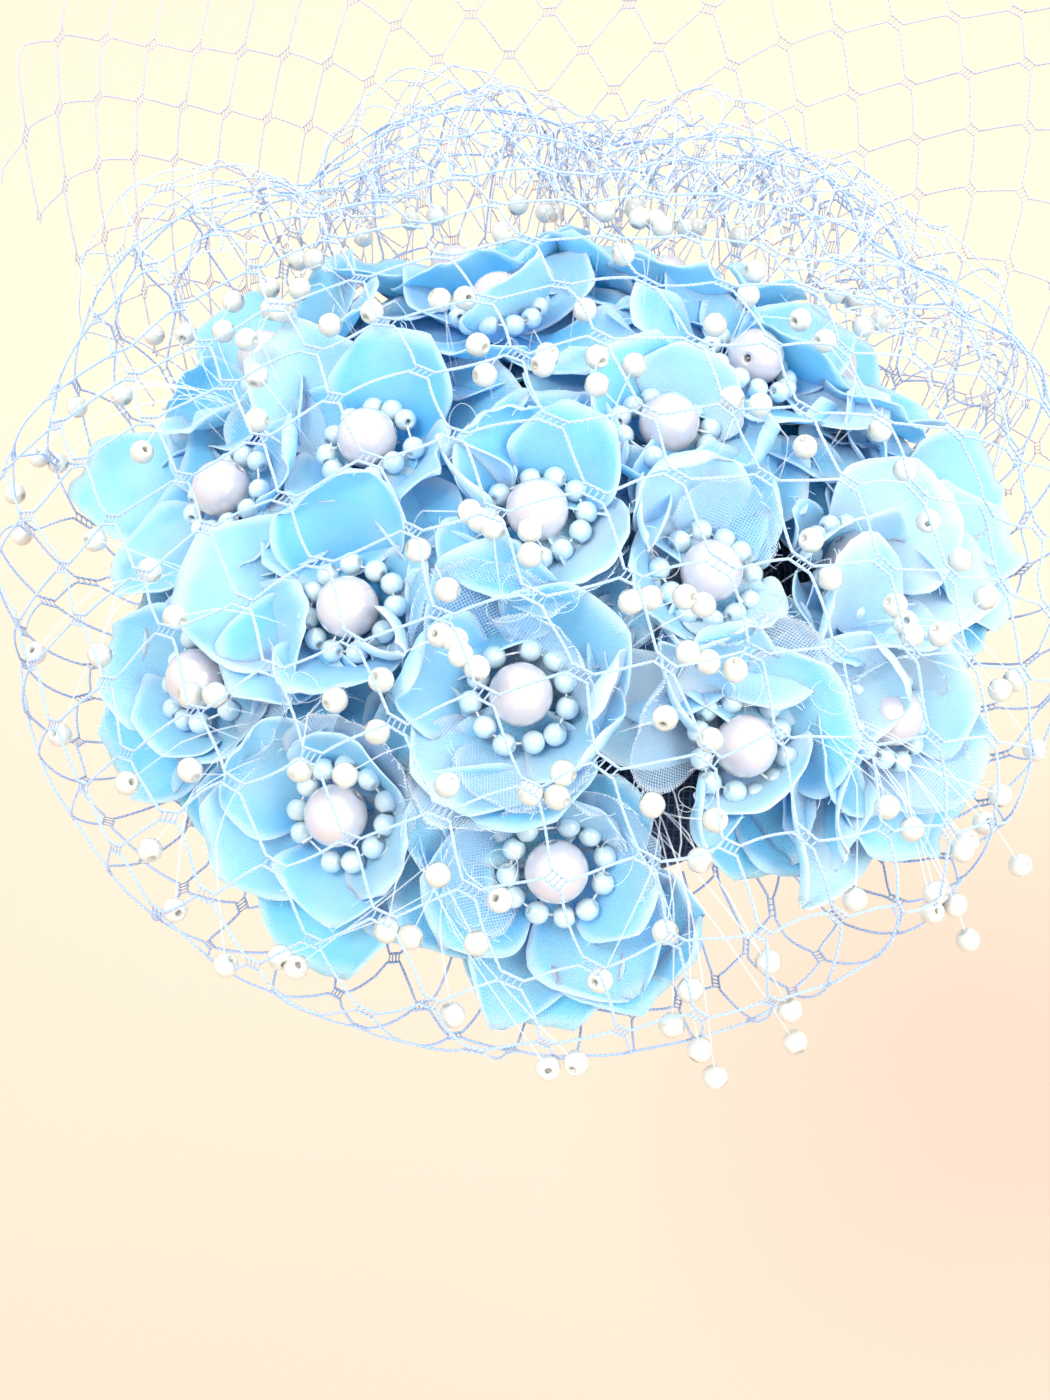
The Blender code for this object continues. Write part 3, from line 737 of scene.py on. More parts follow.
def frayed(petal, count):
    """Loose fibres at the cut rim of a petal, as lists of points."""
    fibres = []
    for k in range(count):
        rim, inner = fray.choice(RIM_PAIRS)
        start = petal.data.vertices[rim].co.copy()
        away = (start - petal.data.vertices[inner].co).normalized()
        aside = Vector([fray.uniform(-0.8, 0.8) for axis in "xyz"])
        half = fray.uniform(*FIBRE_HALVES)
        middle = start + (away + aside * 0.4).normalized() * half
        fibres.append([start, middle, middle + (away + aside).normalized() * half])
    return fibres


# Painted shade colour: the deep blue that is painted at the petals' roots, where shade falls in the cup.
SKY_PAINTED_SHADE = (0.03, 0.36, 0.96, 1.0)
SKY = (0.18, 0.54, 0.98, 1.0)
# The pale blue is the lit colour. It gives the painted highlight on rims and tips, and it is also used for
# paler petals.
SKY_PALE_AND_LIT = (0.66, 0.81, 0.97, 1.0)
THROUGH_CLOTH = (0.15, 0.55, 1.0)
SATIN_PITCH = 0.00045
satin = Look(
    "petal_satin",
    Roughness=0.42,
    Specular_IOR_Level=0.5,
    Sheen_Weight=0.35,
    Sheen_Roughness=0.35,
    Sheen_Tint=(0.65, 0.88, 1.0, 1.0),
    Subsurface_Weight=0.55,
    Subsurface_Radius=THROUGH_CLOTH,
    Subsurface_Scale=0.003,
)
side, up = satin.across_and_along("shares")
cloud = satin.cloudy(satin.place(), 55.0)
dye = satin.node("ShaderNodeAttribute", {"attribute_name": "dye"}, {}, "Fac")
edge = satin.eased(satin.maths("ABSOLUTE", side - 0.5), 0.38, 0.50)
tip = satin.eased(up, 0.86, 1.0)
# Painted shade: each petal is painted a deeper blue towards its root, where shade falls deep in the flower's
# cup.
body = satin.blended(satin.eased(up, 0.05, 0.70), SKY_PAINTED_SHADE, SKY)
# Pale petals are painted towards the pale blue: partly the cloth's own paler tone, partly painted light on
# petals that catch it.
body = satin.blended(satin.eased(cloud, 0.40, 0.80) * 0.35 + dye, body, SKY_PALE_AND_LIT)
# Painted highlight: rims and tips are painted in the pale lit blue, as where the curled rims catch the light.
satin.feed("Base Color", satin.blended(satin.maths("MAXIMUM", edge, tip) * 0.6, body, SKY_PALE_AND_LIT))
across, along = satin.across_and_along("cloth")
warp = satin.maths("SINE", across * (FULL_TURN / SATIN_PITCH))
weft = satin.maths("SINE", along * (FULL_TURN / SATIN_PITCH))
grain = warp * weft
drawn_out = satin.node("ShaderNodeCombineXYZ", {}, {0: across, 1: along * 0.22})
crease = satin.cloudy(drawn_out, 620.0)
satin.relief(grain * 0.3 + crease * 0.9 + cloud, 0.0004, 0.6)

GAUZE_BLUE = (0.42, 0.74, 1.0, 1.0)
GAUZE_WHITE = (0.82, 0.92, 1.0, 1.0)
GAUZE_PITCH = 0.00056
gauze = Look("petal_gauze", Roughness=0.55, Sheen_Weight=0.4)
side, up = gauze.across_and_along("shares")
across, along = gauze.across_and_along("cloth")
warp = gauze.maths("SINE", across * (FULL_TURN / GAUZE_PITCH))
weft = gauze.maths("SINE", along * (FULL_TURN / GAUZE_PITCH))
weave = gauze.maths("MAXIMUM", warp, weft)
edge = gauze.eased(gauze.maths("ABSOLUTE", side - 0.5), 0.40, 0.50)
rim = gauze.maths("MAXIMUM", edge, gauze.eased(up, 0.90, 1.0))
dye = gauze.node("ShaderNodeAttribute", {"attribute_name": "dye"}, {}, "Fac")
# Rims and pale petals are painted whiter. The paleness of the petals is partly their own tone and partly
# painted light.
gauze.feed("Base Color", gauze.blended(rim * 0.7 + weave * 0.1 + dye, GAUZE_BLUE, GAUZE_WHITE))
wisp = gauze.cloudy(gauze.node("ShaderNodeUVMap", {"uv_map": "cloth"}, {}), 2600.0)
cover = gauze.eased(weave, 0.1, 0.95) * 0.44 + 0.08 + rim * 0.22
ragged = gauze.eased(rim, 0.80, 1.0) * gauze.eased(wisp, 0.45, 0.60)
gauze.feed("Alpha", cover * (1 - ragged))
gauze.relief(weave, 0.0001)

AXES = {name: axis_of(name.replace("flower", "pearls")) for name in FLOWERS}
round_blank = petal_blank(ROUND_OUTLINE, ROUND_TIP)
pointed_blank = petal_blank(POINTED_OUTLINE, POINTED_TIP)
BLANKS = {cut: pointed_blank if cut in ("pointed", "folded") else round_blank for cut in PETAL_CUTS}
GAPS = [seen_point(pixel, GAP_LEVEL) for pixel in GAPS_SEEN]
draw = random.Random(20)
fray = random.Random(7)
fibres = []
for name in FLOWERS:
    axis = AXES[name]
    place = flower_place(axis)
    satins, gauzes, taken = [], [], []
    for *pixel, level, width, cut, dye in PETALS_SEEN.get(name, ()):
        tip = seen_point(pixel, level)
        petal = set_petal(place, tip, width, cut, dye, draw)
        if cut == "gauze":
            gauzes.append(petal)
        else:
            satins.append(petal)
            local = place.inverted() @ tip
            taken.append(math.atan2(local.y, local.x))
    spin = draw.uniform(0, 2 * math.pi)
    for k in range(PETALS):
        angle = spin + 2 * math.pi * (k + draw.uniform(-FILL_DRIFT, FILL_DRIFT)) / PETALS
        level = draw.uniform(*UNDER_LEVELS)
        fitted = clear_of_gaps(place, angle + math.pi / PETALS, UNDER_LENGTH, UNDER_WIDTH)
        if fitted:
            tip = round_tip(axis, place, *fitted[:2], level)
            satins.append(set_petal(place, tip, fitted[2], "round", 0.0, draw))
        level = draw.uniform(*(FILL_LEVELS_UNDER if taken else FILL_LEVELS))
        dye = draw.choice(FILL_DYES)
        fitted = clear_of_gaps(place, angle, FILL_LENGTH, FILL_WIDTH * draw.uniform(*FILL_WIDTHS))
        near = any(abs((angle - other + math.pi) % (2 * math.pi) - math.pi) < FILL_APART for other in taken)
        if fitted and not near:
            tip = round_tip(axis, place, *fitted[:2], level)
            satins.append(set_petal(place, tip, fitted[2], "round", dye, draw))
    for petal in satins:
        fibres += frayed(petal, FIBRES_SATIN)
    for petal in gauzes:
        fibres += frayed(petal, FIBRES_GAUZE)
    dressed(joined(satins), f"{name}_satin", satin, "petal_cloth", name)
    if gauzes:
        dressed(joined(gauzes), f"{name}_gauze", gauze, "petal_cloth", name)
removed([round_blank, pointed_blank])
fibre = Look("petal_fibre", Roughness=0.7, Sheen_Weight=0.3)
cloud = fibre.cloudy(fibre.place(), 200.0)
fibre.feed("Base Color", fibre.blended(cloud, (0.45, 0.72, 0.95, 1.0), (0.80, 0.92, 1.0, 1.0)))
dressed(threads(fibres, FIBRE_RADIUS, 0), "petal_fibres", fibre, "petal_cloth", *FLOWERS)


# Pearl centres: one large drilled pearl in a loose ring of small ones, strung on white thread. On some, a
# cut end of the thread stands out of the pearl's hole.
PEARL_RADIUS = 0.0056
BEAD_RADIUS = 0.0021
RING_OUT = 0.0082
RING_BEADS = 11
RING_UP = 0.0016
PEARL_UP = 0.0005
STRING_RADIUS = 0.00022
STRING_END = 0.0022
STRING_PLY = 0.0009
TWO_TURNS = 12.57
RING_DRIFT = 0.10
RING_SLACK = 0.6
RING_OUT_DRIFT = (-0.0004, 0.0008)
RING_UP_DRIFT = 0.0012
RING_TILT = 0.4


def drilled_bead(radius, segments, rings):
    """A round bead with a hole through it: a ball whose poles are cut away and bridged by a tube."""
    bpy.ops.object.select_all(action="DESELECT")
    bpy.ops.mesh.primitive_uv_sphere_add(segments=segments, ring_count=rings, radius=radius)
    bead = bpy.context.object
    cut = radius * math.cos(math.pi / rings * 0.5)
    bpy.ops.object.mode_set(mode="EDIT")
    pick_corners(bead, lambda place: abs(place.z) > cut)
    bpy.ops.mesh.delete(type="VERT")
    bpy.ops.mesh.select_all(action="SELECT")
    bpy.ops.mesh.region_to_loop()
    bpy.ops.mesh.bridge_edge_loops()
    bpy.ops.mesh.select_all(action="SELECT")
    bpy.ops.mesh.normals_make_consistent(inside=False)
    bpy.ops.object.mode_set(mode="OBJECT")
    bead.data.shade_smooth()
    return bead


def placed(pattern, matrix):
    """A copy of a pattern with its own mesh, set down by a matrix."""
    copy = pattern.copy()
    copy.data = pattern.data.copy()
    bpy.context.scene.collection.objects.link(copy)
    copy.data.transform(matrix)
    return copy


def pearl_look(name, body, tint, roughness):
    """Pearl lacquer: a soft body colour that drifts, under a clear coat."""
    look = Look(name, Roughness=roughness, Coat_Weight=1.0, Coat_Roughness=0.15, Specular_IOR_Level=1.0)
    drift = look.cloudy(look.place(), 260.0)
    look.feed("Base Color", look.blended(look.eased(drift, 0.3, 0.7), body, tint))
    look.relief(look.cloudy(look.place(), 900.0), 0.00004)
    return look


large_pearl = pearl_look("pearl_large", (0.60, 0.53, 0.51, 1.0), (0.54, 0.53, 0.59, 1.0), 0.24)
ring_pearl = pearl_look("pearl_ring", (0.44, 0.61, 0.68, 1.0), (0.57, 0.70, 0.74, 1.0), 0.28)
strings = []
big_bead = drilled_bead(PEARL_RADIUS, 32, 22)
small_bead = drilled_bead(BEAD_RADIUS, 12, 10)
for name in FLOWERS:
    axis = AXES[name]
    node = name.replace("flower", "pearls")
    place = flower_place(axis)
    tilt = Matrix.Rotation(draw.uniform(1.3, 1.8), 4, "X") @ Matrix.Rotation(draw.uniform(-0.5, 0.5), 4, "Y")
    middle = place @ Matrix.Translation((0, 0, PEARL_RADIUS + PEARL_UP)) @ tilt
    dressed(placed(big_bead, middle), f"{node}_large", large_pearl, "pearl", node)
    end = PEARL_RADIUS + STRING_END * draw.choice((0.0, 0.5, 1.0))
    strings.append([middle @ Vector((0, 0, up)) for up in (-PEARL_RADIUS, 0, PEARL_RADIUS * 0.9)])
    strings[-1].append(middle @ Vector((draw.uniform(-0.001, 0.001), 0.0006, end)))
    ring = []
    string = []
    start = draw.uniform(0, 2 * math.pi)
    for k in range(RING_BEADS):
        angle = start + 2 * math.pi * (k + draw.uniform(-RING_DRIFT, RING_DRIFT)) / (RING_BEADS + RING_SLACK)
        out = RING_OUT + draw.uniform(*RING_OUT_DRIFT)
        up = BEAD_RADIUS + RING_UP + draw.uniform(0, RING_UP_DRIFT)
        spot = Matrix.Rotation(angle, 4, "Z") @ Matrix.Translation((out, 0, up))
        lie = Matrix.Rotation(math.pi / 2 + draw.uniform(-RING_TILT, RING_TILT), 4, "X")
        ring.append(placed(small_bead, place @ spot @ lie))
        string.append((place @ spot).translation)
    strings.append([*string, string[0]])
    dressed(joined(ring), f"{node}_ring", ring_pearl, "pearl", node)
removed([big_bead])
white_thread = Look("white_thread", Roughness=0.7, Sheen_Weight=0.3)
length, around = white_thread.across_and_along("UVMap")
ply = white_thread.maths("SINE", length * (FULL_TURN / STRING_PLY) + around * TWO_TURNS)
white_thread.feed("Base Color", white_thread.blended(ply, (0.76, 0.78, 0.80, 1.0), (0.90, 0.91, 0.92, 1.0)))
white_thread.relief(ply, 0.00008)
nodes = [name.replace("flower", "pearls") for name in FLOWERS]
dressed(threads(strings, STRING_RADIUS), "pearl_strings", white_thread, "pearl", *nodes)


# Sprays: clear stiff threads sewn to the base where three flowers meet. Each rises through the gap, leans
# out over the petals and carries a small cream pearl. The visible pearls stand where the photograph has them.
SPRAY_LEVEL = 0.12135
LINE_RADIUS = 0.00016
LINE_STEPS = 16
ROOT_LEAN = math.radians(44)
SPRAY_PIXELS = (
    (15, 494), (22, 535), (39, 457), (58, 463), (77, 407), (60, 735), (127, 783), (150, 850), (175, 910),
    (226, 965), (280, 957), (296, 967), (387, 930), (410, 937), (452, 1015), (576, 1063), (548, 1068),
    (700, 1050), (715, 1077), (795, 1042), (672, 1025), (690, 990), (968, 940), (932, 912), (955, 905),
    (1020, 865), (1035, 750), (895, 605), (905, 622), (912, 635), (940, 635), (478, 345), (485, 375),
    (597, 357), (597, 385), (257, 376), (257, 420), (447, 590), (418, 550), (530, 530), (530, 555),
    (480, 520), (470, 512), (493, 527), (685, 597), (703, 605), (688, 653), (708, 662), (665, 718),
    (710, 740), (735, 670), (650, 598), (631, 602), (811, 540), (830, 578), (928, 521), (805, 447),
    (760, 405), (715, 325), (585, 310), (465, 298), (503, 233), (150, 570), (175, 617), (215, 695),
    (190, 695), (377, 732), (381, 680), (335, 700), (447, 785), (530, 793), (557, 797), (563, 773),
    (438, 875), (477, 943), (600, 980), (665, 932), (768, 962), (855, 900), (887, 807), (912, 829),
    (715, 820), (652, 805), (35, 653), (100, 655), (95, 540), (122, 395), (142, 452), (154, 335),
    (330, 325), (372, 312), (440, 300), (547, 355), (543, 365), (634, 365), (732, 398), (748, 295),
    (623, 255), (440, 635), (455, 640), (461, 655), (477, 668), (1000, 690), (1015, 680), (985, 598),
    (1000, 795), (985, 823), (962, 850), (967, 842), (935, 893), (700, 860), (790, 1010), (500, 900),
    (300, 770), (190, 770), (345, 775), (855, 300), (800, 320), (880, 430), (960, 560), (905, 470),
)
BACK_SPRAYS = 30
BACK_LEANS = (0.45, 0.95)
BACK_AZIMUTHS = (15, 165)
LINE_TURNS_FROM = 0.25
LINE_CLIMBS_TO = 0.55
BEAD_GROWTH = 1.08
ROOT_SPREAD = 0.040
CURL_LEVEL = 0.1185
CURL_RADIUS = 0.0036
CURL_STEPS = 40
CURL_PIXELS = (
    (512, 600), (548, 612), (505, 860), (742, 688), (610, 870), (905, 640), (690, 800), (300, 700),
    (455, 430), (470, 905), (840, 690), (660, 560),
)


def between_flowers():
    """The directions between two or three neighbouring flowers, as far out as a thread can be sewn down."""
    found = [(first + second).normalized() for first, second in combinations(AXES.values(), 2)]
    shared = [2] * len(found)
    for first, second, third in combinations(AXES.values(), 3):
        up = (second - first).cross(third - first).normalized()
        found.append(-up if up.z < 0 else up)
        shared.append(3)
    kept = []
    for up, count in zip(found, shared):
        near = sorted((axis.dot(up) for axis in AXES.values()), reverse=True)
        if near[0] - near[count - 1] < 1e-5 and up.z > math.cos(ROOT_LEAN):
            kept.append(up)
    return kept


def loose_curl(pixel):
    """A short end of clear thread that has sprung into a few flat loops over the petals."""
    middle = seen_point(pixel, CURL_LEVEL)
    out = (middle - HEAD_CENTRE).normalized()
    across = out.orthogonal().normalized()
    along = out.cross(across)
    turns, start = draw.uniform(1.3, 2.6), draw.uniform(0, 2 * math.pi)
    drift = draw.uniform(0.5, 1.2)
    points = []
    for step in range(CURL_STEPS + 1):
        share = step / CURL_STEPS
        angle = start + 2 * math.pi * turns * share
        radius = CURL_RADIUS * (0.6 + 0.4 * math.sin(3 * share + start))
        spot = across * (radius * math.cos(angle) + CURL_RADIUS * drift * (2 * share - 1))
        spot += along * radius * math.sin(angle) + out * 0.001 * math.sin(2 * angle)
        points.append(middle + spot)
    return points


def spray_line(root, bead):
    """A clear thread from the base up between the flowers, and out over them to its pearl."""
    end = bead - HEAD_CENTRE
    points = []
    for step in range(LINE_STEPS + 1):
        share = step / LINE_STEPS
        turn = max(0.0, (share - LINE_TURNS_FROM) / (1 - LINE_TURNS_FROM))
        turn = turn * turn * (3 - 2 * turn)
        climb = min(1.0, share / LINE_CLIMBS_TO) ** 0.8
        level = BASE_RADIUS + (end.length - BASE_RADIUS) * climb
        points.append(HEAD_CENTRE + root.slerp(end.normalized(), turn) * level)
    return points


spray_pearl = pearl_look("pearl_spray", (0.58, 0.57, 0.49, 1.0), (0.64, 0.65, 0.58, 1.0), 0.28)
clear_line = Look("clear_line", Roughness=0.12, Alpha=0.24, Coat_Weight=0.5)
wear = clear_line.cloudy(clear_line.place(), 300.0)
clear_line.feed("Base Color", clear_line.blended(wear, (0.95, 0.97, 1.0, 1.0), (0.80, 0.88, 0.97, 1.0)))
roots = between_flowers()
beads = [seen_point(pixel, SPRAY_LEVEL) for pixel in SPRAY_PIXELS]
for k in range(BACK_SPRAYS):
    lean, azimuth = draw.uniform(*BACK_LEANS), math.radians(draw.uniform(*BACK_AZIMUTHS))
    beads.append(HEAD_CENTRE + direction(lean, azimuth) * (SPRAY_LEVEL + draw.uniform(-0.001, 0.001)))
stems = {name: sum(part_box(name), Vector()) / 2 - HEAD_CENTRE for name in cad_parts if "spray" in name}
lines = {name: [] for name in stems}
pearls = {name: [] for name in stems}
for bead in beads:
    out = (bead - HEAD_CENTRE).normalized()
    root = max(roots, key=out.dot)
    stem = max(stems, key=lambda name: stems[name].normalized().dot(root))
    sewn = root + Vector([draw.uniform(-ROOT_SPREAD, ROOT_SPREAD) for axis in "xyz"])
    lines[stem].append(spray_line(sewn.normalized(), bead))
    lie = Matrix.Rotation(draw.uniform(0, math.pi), 4, "X")
    lie = lie @ Matrix.Rotation(draw.uniform(0, math.pi), 4, "Y")
    pearls[stem].append(placed(small_bead, Matrix.Translation(bead) @ lie @ Matrix.Scale(BEAD_GROWTH, 4)))
curls = threads([loose_curl(pixel) for pixel in CURL_PIXELS], LINE_RADIUS * 0.5)
dressed(curls, "spray_curls", clear_line, "spray_pearl", "spray_a")
for name in sorted(stems):
    dressed(threads(lines[name], LINE_RADIUS), f"{name}_lines", clear_line, "spray_pearl", name)
    dressed(joined(pearls[name]), f"{name}_beads", spray_pearl, "spray_pearl", name)
removed([small_bead])


# Veil: coarse diamond net of soft twisted thread. Zigzag threads run side by side and are laced to each
# other at every turn by a short ladder of stitches. First it bags over the flowers, gathered at its hem.
VEIL_ABOVE_SPRAYS = 0.0032
VEIL_BESIDE_PETALS = 0.0062
VEIL_TUCK_RADIUS = 0.023
VEIL_TUCK_ANGLE = math.radians(120)
RUFFLE_HEIGHT = 0.017
RUFFLE_SPREAD = 0.039
RUFFLE_LOBES = 9
RUFFLE_DIP = 0.45
RUFFLE_ENDS = math.radians(9)
VEIL_UNEVEN = 0.0024
VEIL_UNEVEN_SCALE = 55
VEIL_SLACK = 0.0011
VEIL_SLACK_SCALE = 45
VEIL_FADE = 0.02
VEIL_PLY = 0.0011
MESH_ACROSS = 0.0124
MESH_ALONG = 0.0100
MESH_TURN = math.radians(-27)
MESH_STEPS = 6
KNOT_LENGTH = 0.0042
KNOT_HEIGHT = 0.0019
KNOT_RUNGS = 4
KNOT_SEEN = (537, 591)
VEIL_THREAD = 0.00027
RIM_OUT = (BASE_RADIUS + HEAD_RADIUS) / 2 * math.sin(BASE_HALF_ANGLE)
HEM_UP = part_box("base_dome")[0].z - 0.0009


class BagProfile:
    """The bagged veil from the crown to the hem: an arc over the flowers, a tighter one that tucks under
    them, and a straight run in to the rim."""

    def __init__(self):
        corners = [corner.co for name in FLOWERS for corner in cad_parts[name].data.vertices]
        self.dome = SPRAY_LEVEL + BEAD_RADIUS + VEIL_ABOVE_SPRAYS
        self.widest = max(corner.xy.length for corner in corners) + VEIL_BESIDE_PETALS
        inner = self.dome - VEIL_TUCK_RADIUS
        self.turn = math.asin((self.widest - VEIL_TUCK_RADIUS) / inner)
        self.middle = Vector((inner * math.sin(self.turn), inner * math.cos(self.turn) - HEAD_RADIUS))
        self.shoulder = self.dome * self.turn
        self.tuck = self.shoulder + VEIL_TUCK_RADIUS * VEIL_TUCK_ANGLE
        self.hem = Vector((RIM_OUT, HEM_UP))
        self.whole = self.tuck + (self.hem - self.tucked(self.tuck)).length
        self.hang = HEM_UP - self.tucked(self.tuck).y

    def tucked(self, length):
        """A point of the tuck, as (distance out, height)."""
        angle = self.turn + (length - self.shoulder) / VEIL_TUCK_RADIUS
        return self.middle + VEIL_TUCK_RADIUS * Vector((math.sin(angle), math.cos(angle)))

    def at(self, length):
        """A point of the profile by its length from the crown, as (distance out, height)."""
        if length <= self.shoulder:
            angle = length / self.dome
            return Vector((self.dome * math.sin(angle), self.dome * math.cos(angle) - HEAD_RADIUS))
        if length <= self.tuck:
            return self.tucked(length)
        return self.tucked(self.tuck).lerp(self.hem, (length - self.tuck) / (self.whole - self.tuck))

    def ruffle(self, length, azimuth):
        """How far the veil stands off its smooth shape there."""
        back = max(0.0, math.sin(azimuth) + math.sin(RUFFLE_ENDS)) / (1 + math.sin(RUFFLE_ENDS))
        near = math.exp(-(((length - self.shoulder) / RUFFLE_SPREAD) ** 2))
        lobes = RUFFLE_DIP + (1 - RUFFLE_DIP) * abs(math.sin(azimuth * RUFFLE_LOBES / 2))
        return RUFFLE_HEIGHT * math.sqrt(back) * near * lobes

    def cloth(self, flat):
        """The place of a point of the flat cloth, measured from the crown. It hangs a little unevenly."""
        drift = Vector([noise.noise(Vector((*flat, layer)) * VEIL_UNEVEN_SCALE) for layer in (3, 7)])
        flat = flat + drift * VEIL_UNEVEN
        length = min(flat.length, self.whole)
        azimuth = math.atan2(flat.y, flat.x)
        out, up = self.at(length)
        point = Vector((out * math.cos(azimuth), out * math.sin(azimuth), up))
        fade = min(1.0, (self.whole - length) / VEIL_FADE)
        slack = VEIL_SLACK * noise.noise(Vector((*flat, 0)) * VEIL_SLACK_SCALE)
        return point + (point - HEAD_CENTRE).normalized() * (self.ruffle(length, azimuth) + slack) * fade


def diamond_net(columns, rows, flatten, inside):
    """The threads and the ladder rungs of a piece of net, as lists of flat points. Columns and rows count
    half diamonds, flatten puts a knot's own coordinates on the cloth, and inside says what is kept."""
    long_runs, rungs = [], []
    half_flat = KNOT_LENGTH / MESH_ACROSS / 2
    half_high = KNOT_HEIGHT / MESH_ALONG / 2
    for j in range(rows[0], rows[1] + 1):
        zigzag = []
        for i in range(columns[0], columns[1] + 1):
            low = (i + j) % 2 == 0
            level = j + half_high if low else j + 1 - half_high
            zigzag += [(i - half_flat, level), (i + half_flat, level)]
            if low:
                for k in range(KNOT_RUNGS):
                    spot = i + half_flat * (2 * k / (KNOT_RUNGS - 1) - 1) * 0.8
                    ends = [flatten(spot + 0.02, j + half_high), flatten(spot - 0.02, j - half_high)]
                    if all(map(inside, ends)):
                        rungs.append(ends)
        run = []
        for (i0, j0), (i1, j1) in zip(zigzag, zigzag[1:]):
            steps = MESH_STEPS if j0 != j1 else 2
            for step in range(steps):
                share = step / steps
                point = flatten(i0 + (i1 - i0) * share, j0 + (j1 - j0) * share)
                if inside(point):
                    run.append(point)
                elif len(run) > 1:
                    long_runs.append(run)
                    run = []
                else:
                    run = []
        if len(run) > 1:
            long_runs.append(run)
    return long_runs, rungs


def net_piece(net, cloth, radius=VEIL_THREAD):
    """The net's threads laid on a cloth, as one mesh."""
    long_runs, rungs = net
    strands = threads([[cloth(point) for point in run] for run in long_runs], radius)
    laces = threads([[cloth(point) for point in run] for run in rungs], radius * 0.6, 0)
    return joined([strands, laces])


def net_look(name, body, pale):
    """Soft two-ply thread, whose colour drifts along it."""
    look = Look(
        name,
        Roughness=0.6,
        Sheen_Weight=0.4,
        Subsurface_Weight=0.6,
        Subsurface_Radius=(1.0, 1.0, 1.0),
        Subsurface_Scale=VEIL_THREAD * 3,
    )
    length, around = look.across_and_along("UVMap")
    ply = look.maths("SINE", length * (FULL_TURN / VEIL_PLY) + around * TWO_TURNS)
    look.feed("Base Color", look.blended(ply * 0.2 + look.cloudy(look.place(), 70.0), body, pale))
    look.relief(ply, 0.00010)
    return look


veil_thread = net_look("veil_thread", (0.30, 0.46, 0.80, 1.0), (0.48, 0.62, 0.90, 1.0))

bag = BagProfile()
turn = Matrix.Rotation(MESH_TURN, 2)
to_knot = seen_point(KNOT_SEEN, bag.dome) - HEAD_CENTRE
knot_lean = math.acos(to_knot.normalized().z)
knot_flat = to_knot.xy.normalized() * bag.dome * knot_lean


def bag_flat(i, j):
    """A knot's coordinates as a point of the flat bag."""
    return knot_flat + turn @ Vector((i * MESH_ACROSS, j * MESH_ALONG))


reach_across = int((bag.whole + knot_flat.length) / MESH_ACROSS) + 2
reach_along = int((bag.whole + knot_flat.length) / MESH_ALONG) + 2
bag_net = diamond_net(
    (-reach_across, reach_across), (-reach_along, reach_along), bag_flat, lambda p: p.length < bag.whole
)
dressed(net_piece(bag_net, bag.cloth), "veil_bag_net", veil_thread, "veil_net", "veil_bag")


# Ruffle: more of the same net, gathered in three loose layers inside the bag's back. It loops up from the
# flowers to the bag's crest and down behind them.
RUFFLE_LAYERS = (
    # right end, left end, under the bag, height, lobes, first lobe, start and end as shares of the shoulder
    (18, 146, -0.0020, 0.0110, 11, 0.3, 0.58, 1.30),
    (18, 138, -0.0045, 0.0090, 8, 1.4, 0.68, 1.24),
    (38, 118, -0.0060, 0.0100, 14, 2.3, 0.62, 1.16),
)
RUFFLE_COLUMNS = 46
RUFFLE_ROWS = 8
RUFFLE_FOLD = 0.16
RUFFLE_BUNCH = 0.30
RUFFLE_CRUMPLE = 0.0025
RUFFLE_THREAD = 0.00019


def ruffle_cloth(layer):
    """The places of one layer of the ruffle, from shares of the way round and across."""
    right, left, under, height, lobes, first, start, end = layer

    def place(flat):
        side, part = flat
        bunch = RUFFLE_BUNCH * math.sin(2 * math.pi * side) / (2 * math.pi)
        azimuth = math.radians(right + (left - right) * (side + bunch))
        rise = math.sin(math.pi * part) ** 0.8
        wave = math.sin(lobes * azimuth + first)
        azimuth -= RUFFLE_FOLD * math.cos(lobes * azimuth + first) * rise * 0.5
        length = bag.shoulder * (start + (end - start) * part)
        out, up = bag.at(length)
        point = Vector((out * math.cos(azimuth), out * math.sin(azimuth), up))
        stand = under + bag.ruffle(length, azimuth) + height * rise * (0.35 + 0.65 * wave)
        stand += RUFFLE_CRUMPLE * noise.noise(Vector((side * 60, part * 5, first)))
        return point + (point - HEAD_CENTRE).normalized() * stand

    return place


def ruffle_flat(i, j):
    """A knot's coordinates as shares of the way round and across."""
    return Vector((i / RUFFLE_COLUMNS, j / RUFFLE_ROWS))


ruffle_net = diamond_net(
    (0, RUFFLE_COLUMNS), (0, RUFFLE_ROWS), ruffle_flat, lambda p: 0 <= p.x <= 1 and 0 <= p.y <= 1
)
layers = [net_piece(ruffle_net, ruffle_cloth(layer), RUFFLE_THREAD) for layer in RUFFLE_LAYERS]
ruffle_thread = net_look("ruffle_thread", (0.42, 0.58, 0.90, 1.0), (0.60, 0.73, 0.95, 1.0))
dressed(joined(layers), "veil_ruffle_net", ruffle_thread, "veil_net", "veil_bag")


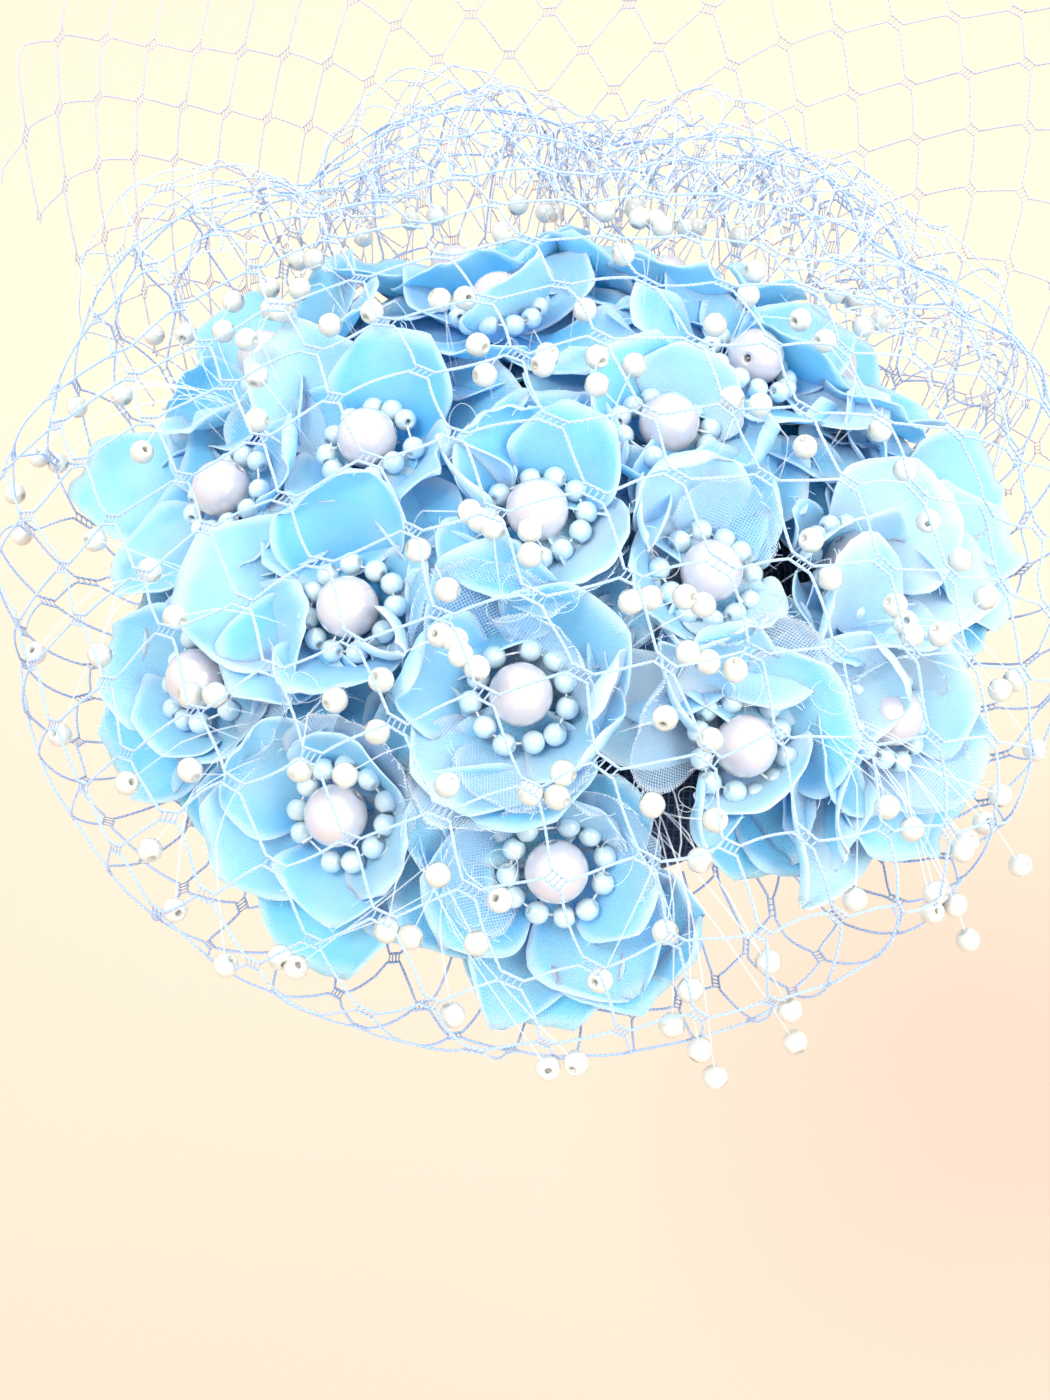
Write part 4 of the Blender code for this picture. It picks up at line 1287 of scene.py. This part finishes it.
# Fan: the free end of the veil, gathered under the back of the rim and spread out behind. Its threads
# end cut off at its free edge.
FAN_REACH_LEFT = 0.119
FAN_REACH_RIGHT = 0.148
FAN_ROOT_LEFT = math.radians(135)
FAN_ROOT_RIGHT = math.radians(42)
FAN_SPREAD_LEFT = math.radians(168)
FAN_SPREAD_RIGHT = math.radians(-16)
FAN_WAVE = 0.007
FAN_WAVES = 4
FAN_COLUMNS = 34
FAN_ROWS = 18
FAN_DOWN = 0.0015
FAN_THREAD = 0.00020

# Heights of the fan from its root to its free edge. Distance is a share of the way from the rim to the
# bag's widest, and height is a share of how far the bag hangs below the rim.
FAN_SECTIONS = (
    # distance, height
    (0.00, 0.00),
    (0.48, -1.28),
    (0.85, -1.08),
    (1.29, -0.09),
    (1.86, 1.45),
    (2.73, 3.32),
    (3.60, 4.60),
)


def fan_cloth(flat):
    """The place of a point of the fan. It is given as shares of the way across and out."""
    side, part = flat
    root = RIM_OUT * direction(math.pi / 2, FAN_ROOT_LEFT + (FAN_ROOT_RIGHT - FAN_ROOT_LEFT) * side)
    spread = FAN_SPREAD_LEFT + (FAN_SPREAD_RIGHT - FAN_SPREAD_LEFT) * side
    reach = FAN_REACH_LEFT + (FAN_REACH_RIGHT - FAN_REACH_LEFT) * math.sin(math.pi / 2 * side)
    edge = Vector((0, RIM_OUT, 0)) + reach * direction(math.pi / 2, spread)
    point = root.lerp(edge, part)
    out = (point.length - RIM_OUT) / (bag.widest - RIM_OUT)
    for low, high in zip(FAN_SECTIONS, FAN_SECTIONS[1:]):
        if out <= high[0]:
            break
    height = low[1] + (high[1] - low[1]) * (out - low[0]) / (high[0] - low[0])
    wave = FAN_WAVE * math.sin(2 * math.pi * FAN_WAVES * side) * part**2
    point.z = HEM_UP - FAN_DOWN + height * bag.hang + wave
    return point


def fan_flat(i, j):
    """A knot's coordinates as shares of the way across and out."""
    return Vector((i / FAN_COLUMNS, j / FAN_ROWS))


fan_net = diamond_net(
    (0, FAN_COLUMNS), (0, FAN_ROWS), fan_flat, lambda p: 0 <= p.x <= 1 and 0 <= p.y <= 1
)
fan_thread = net_look("fan_thread", (0.33, 0.39, 0.58, 1.0), (0.56, 0.50, 0.55, 1.0))
dressed(net_piece(fan_net, fan_cloth, FAN_THREAD), "veil_fan_net", fan_thread, "veil_net", "veil_fan")
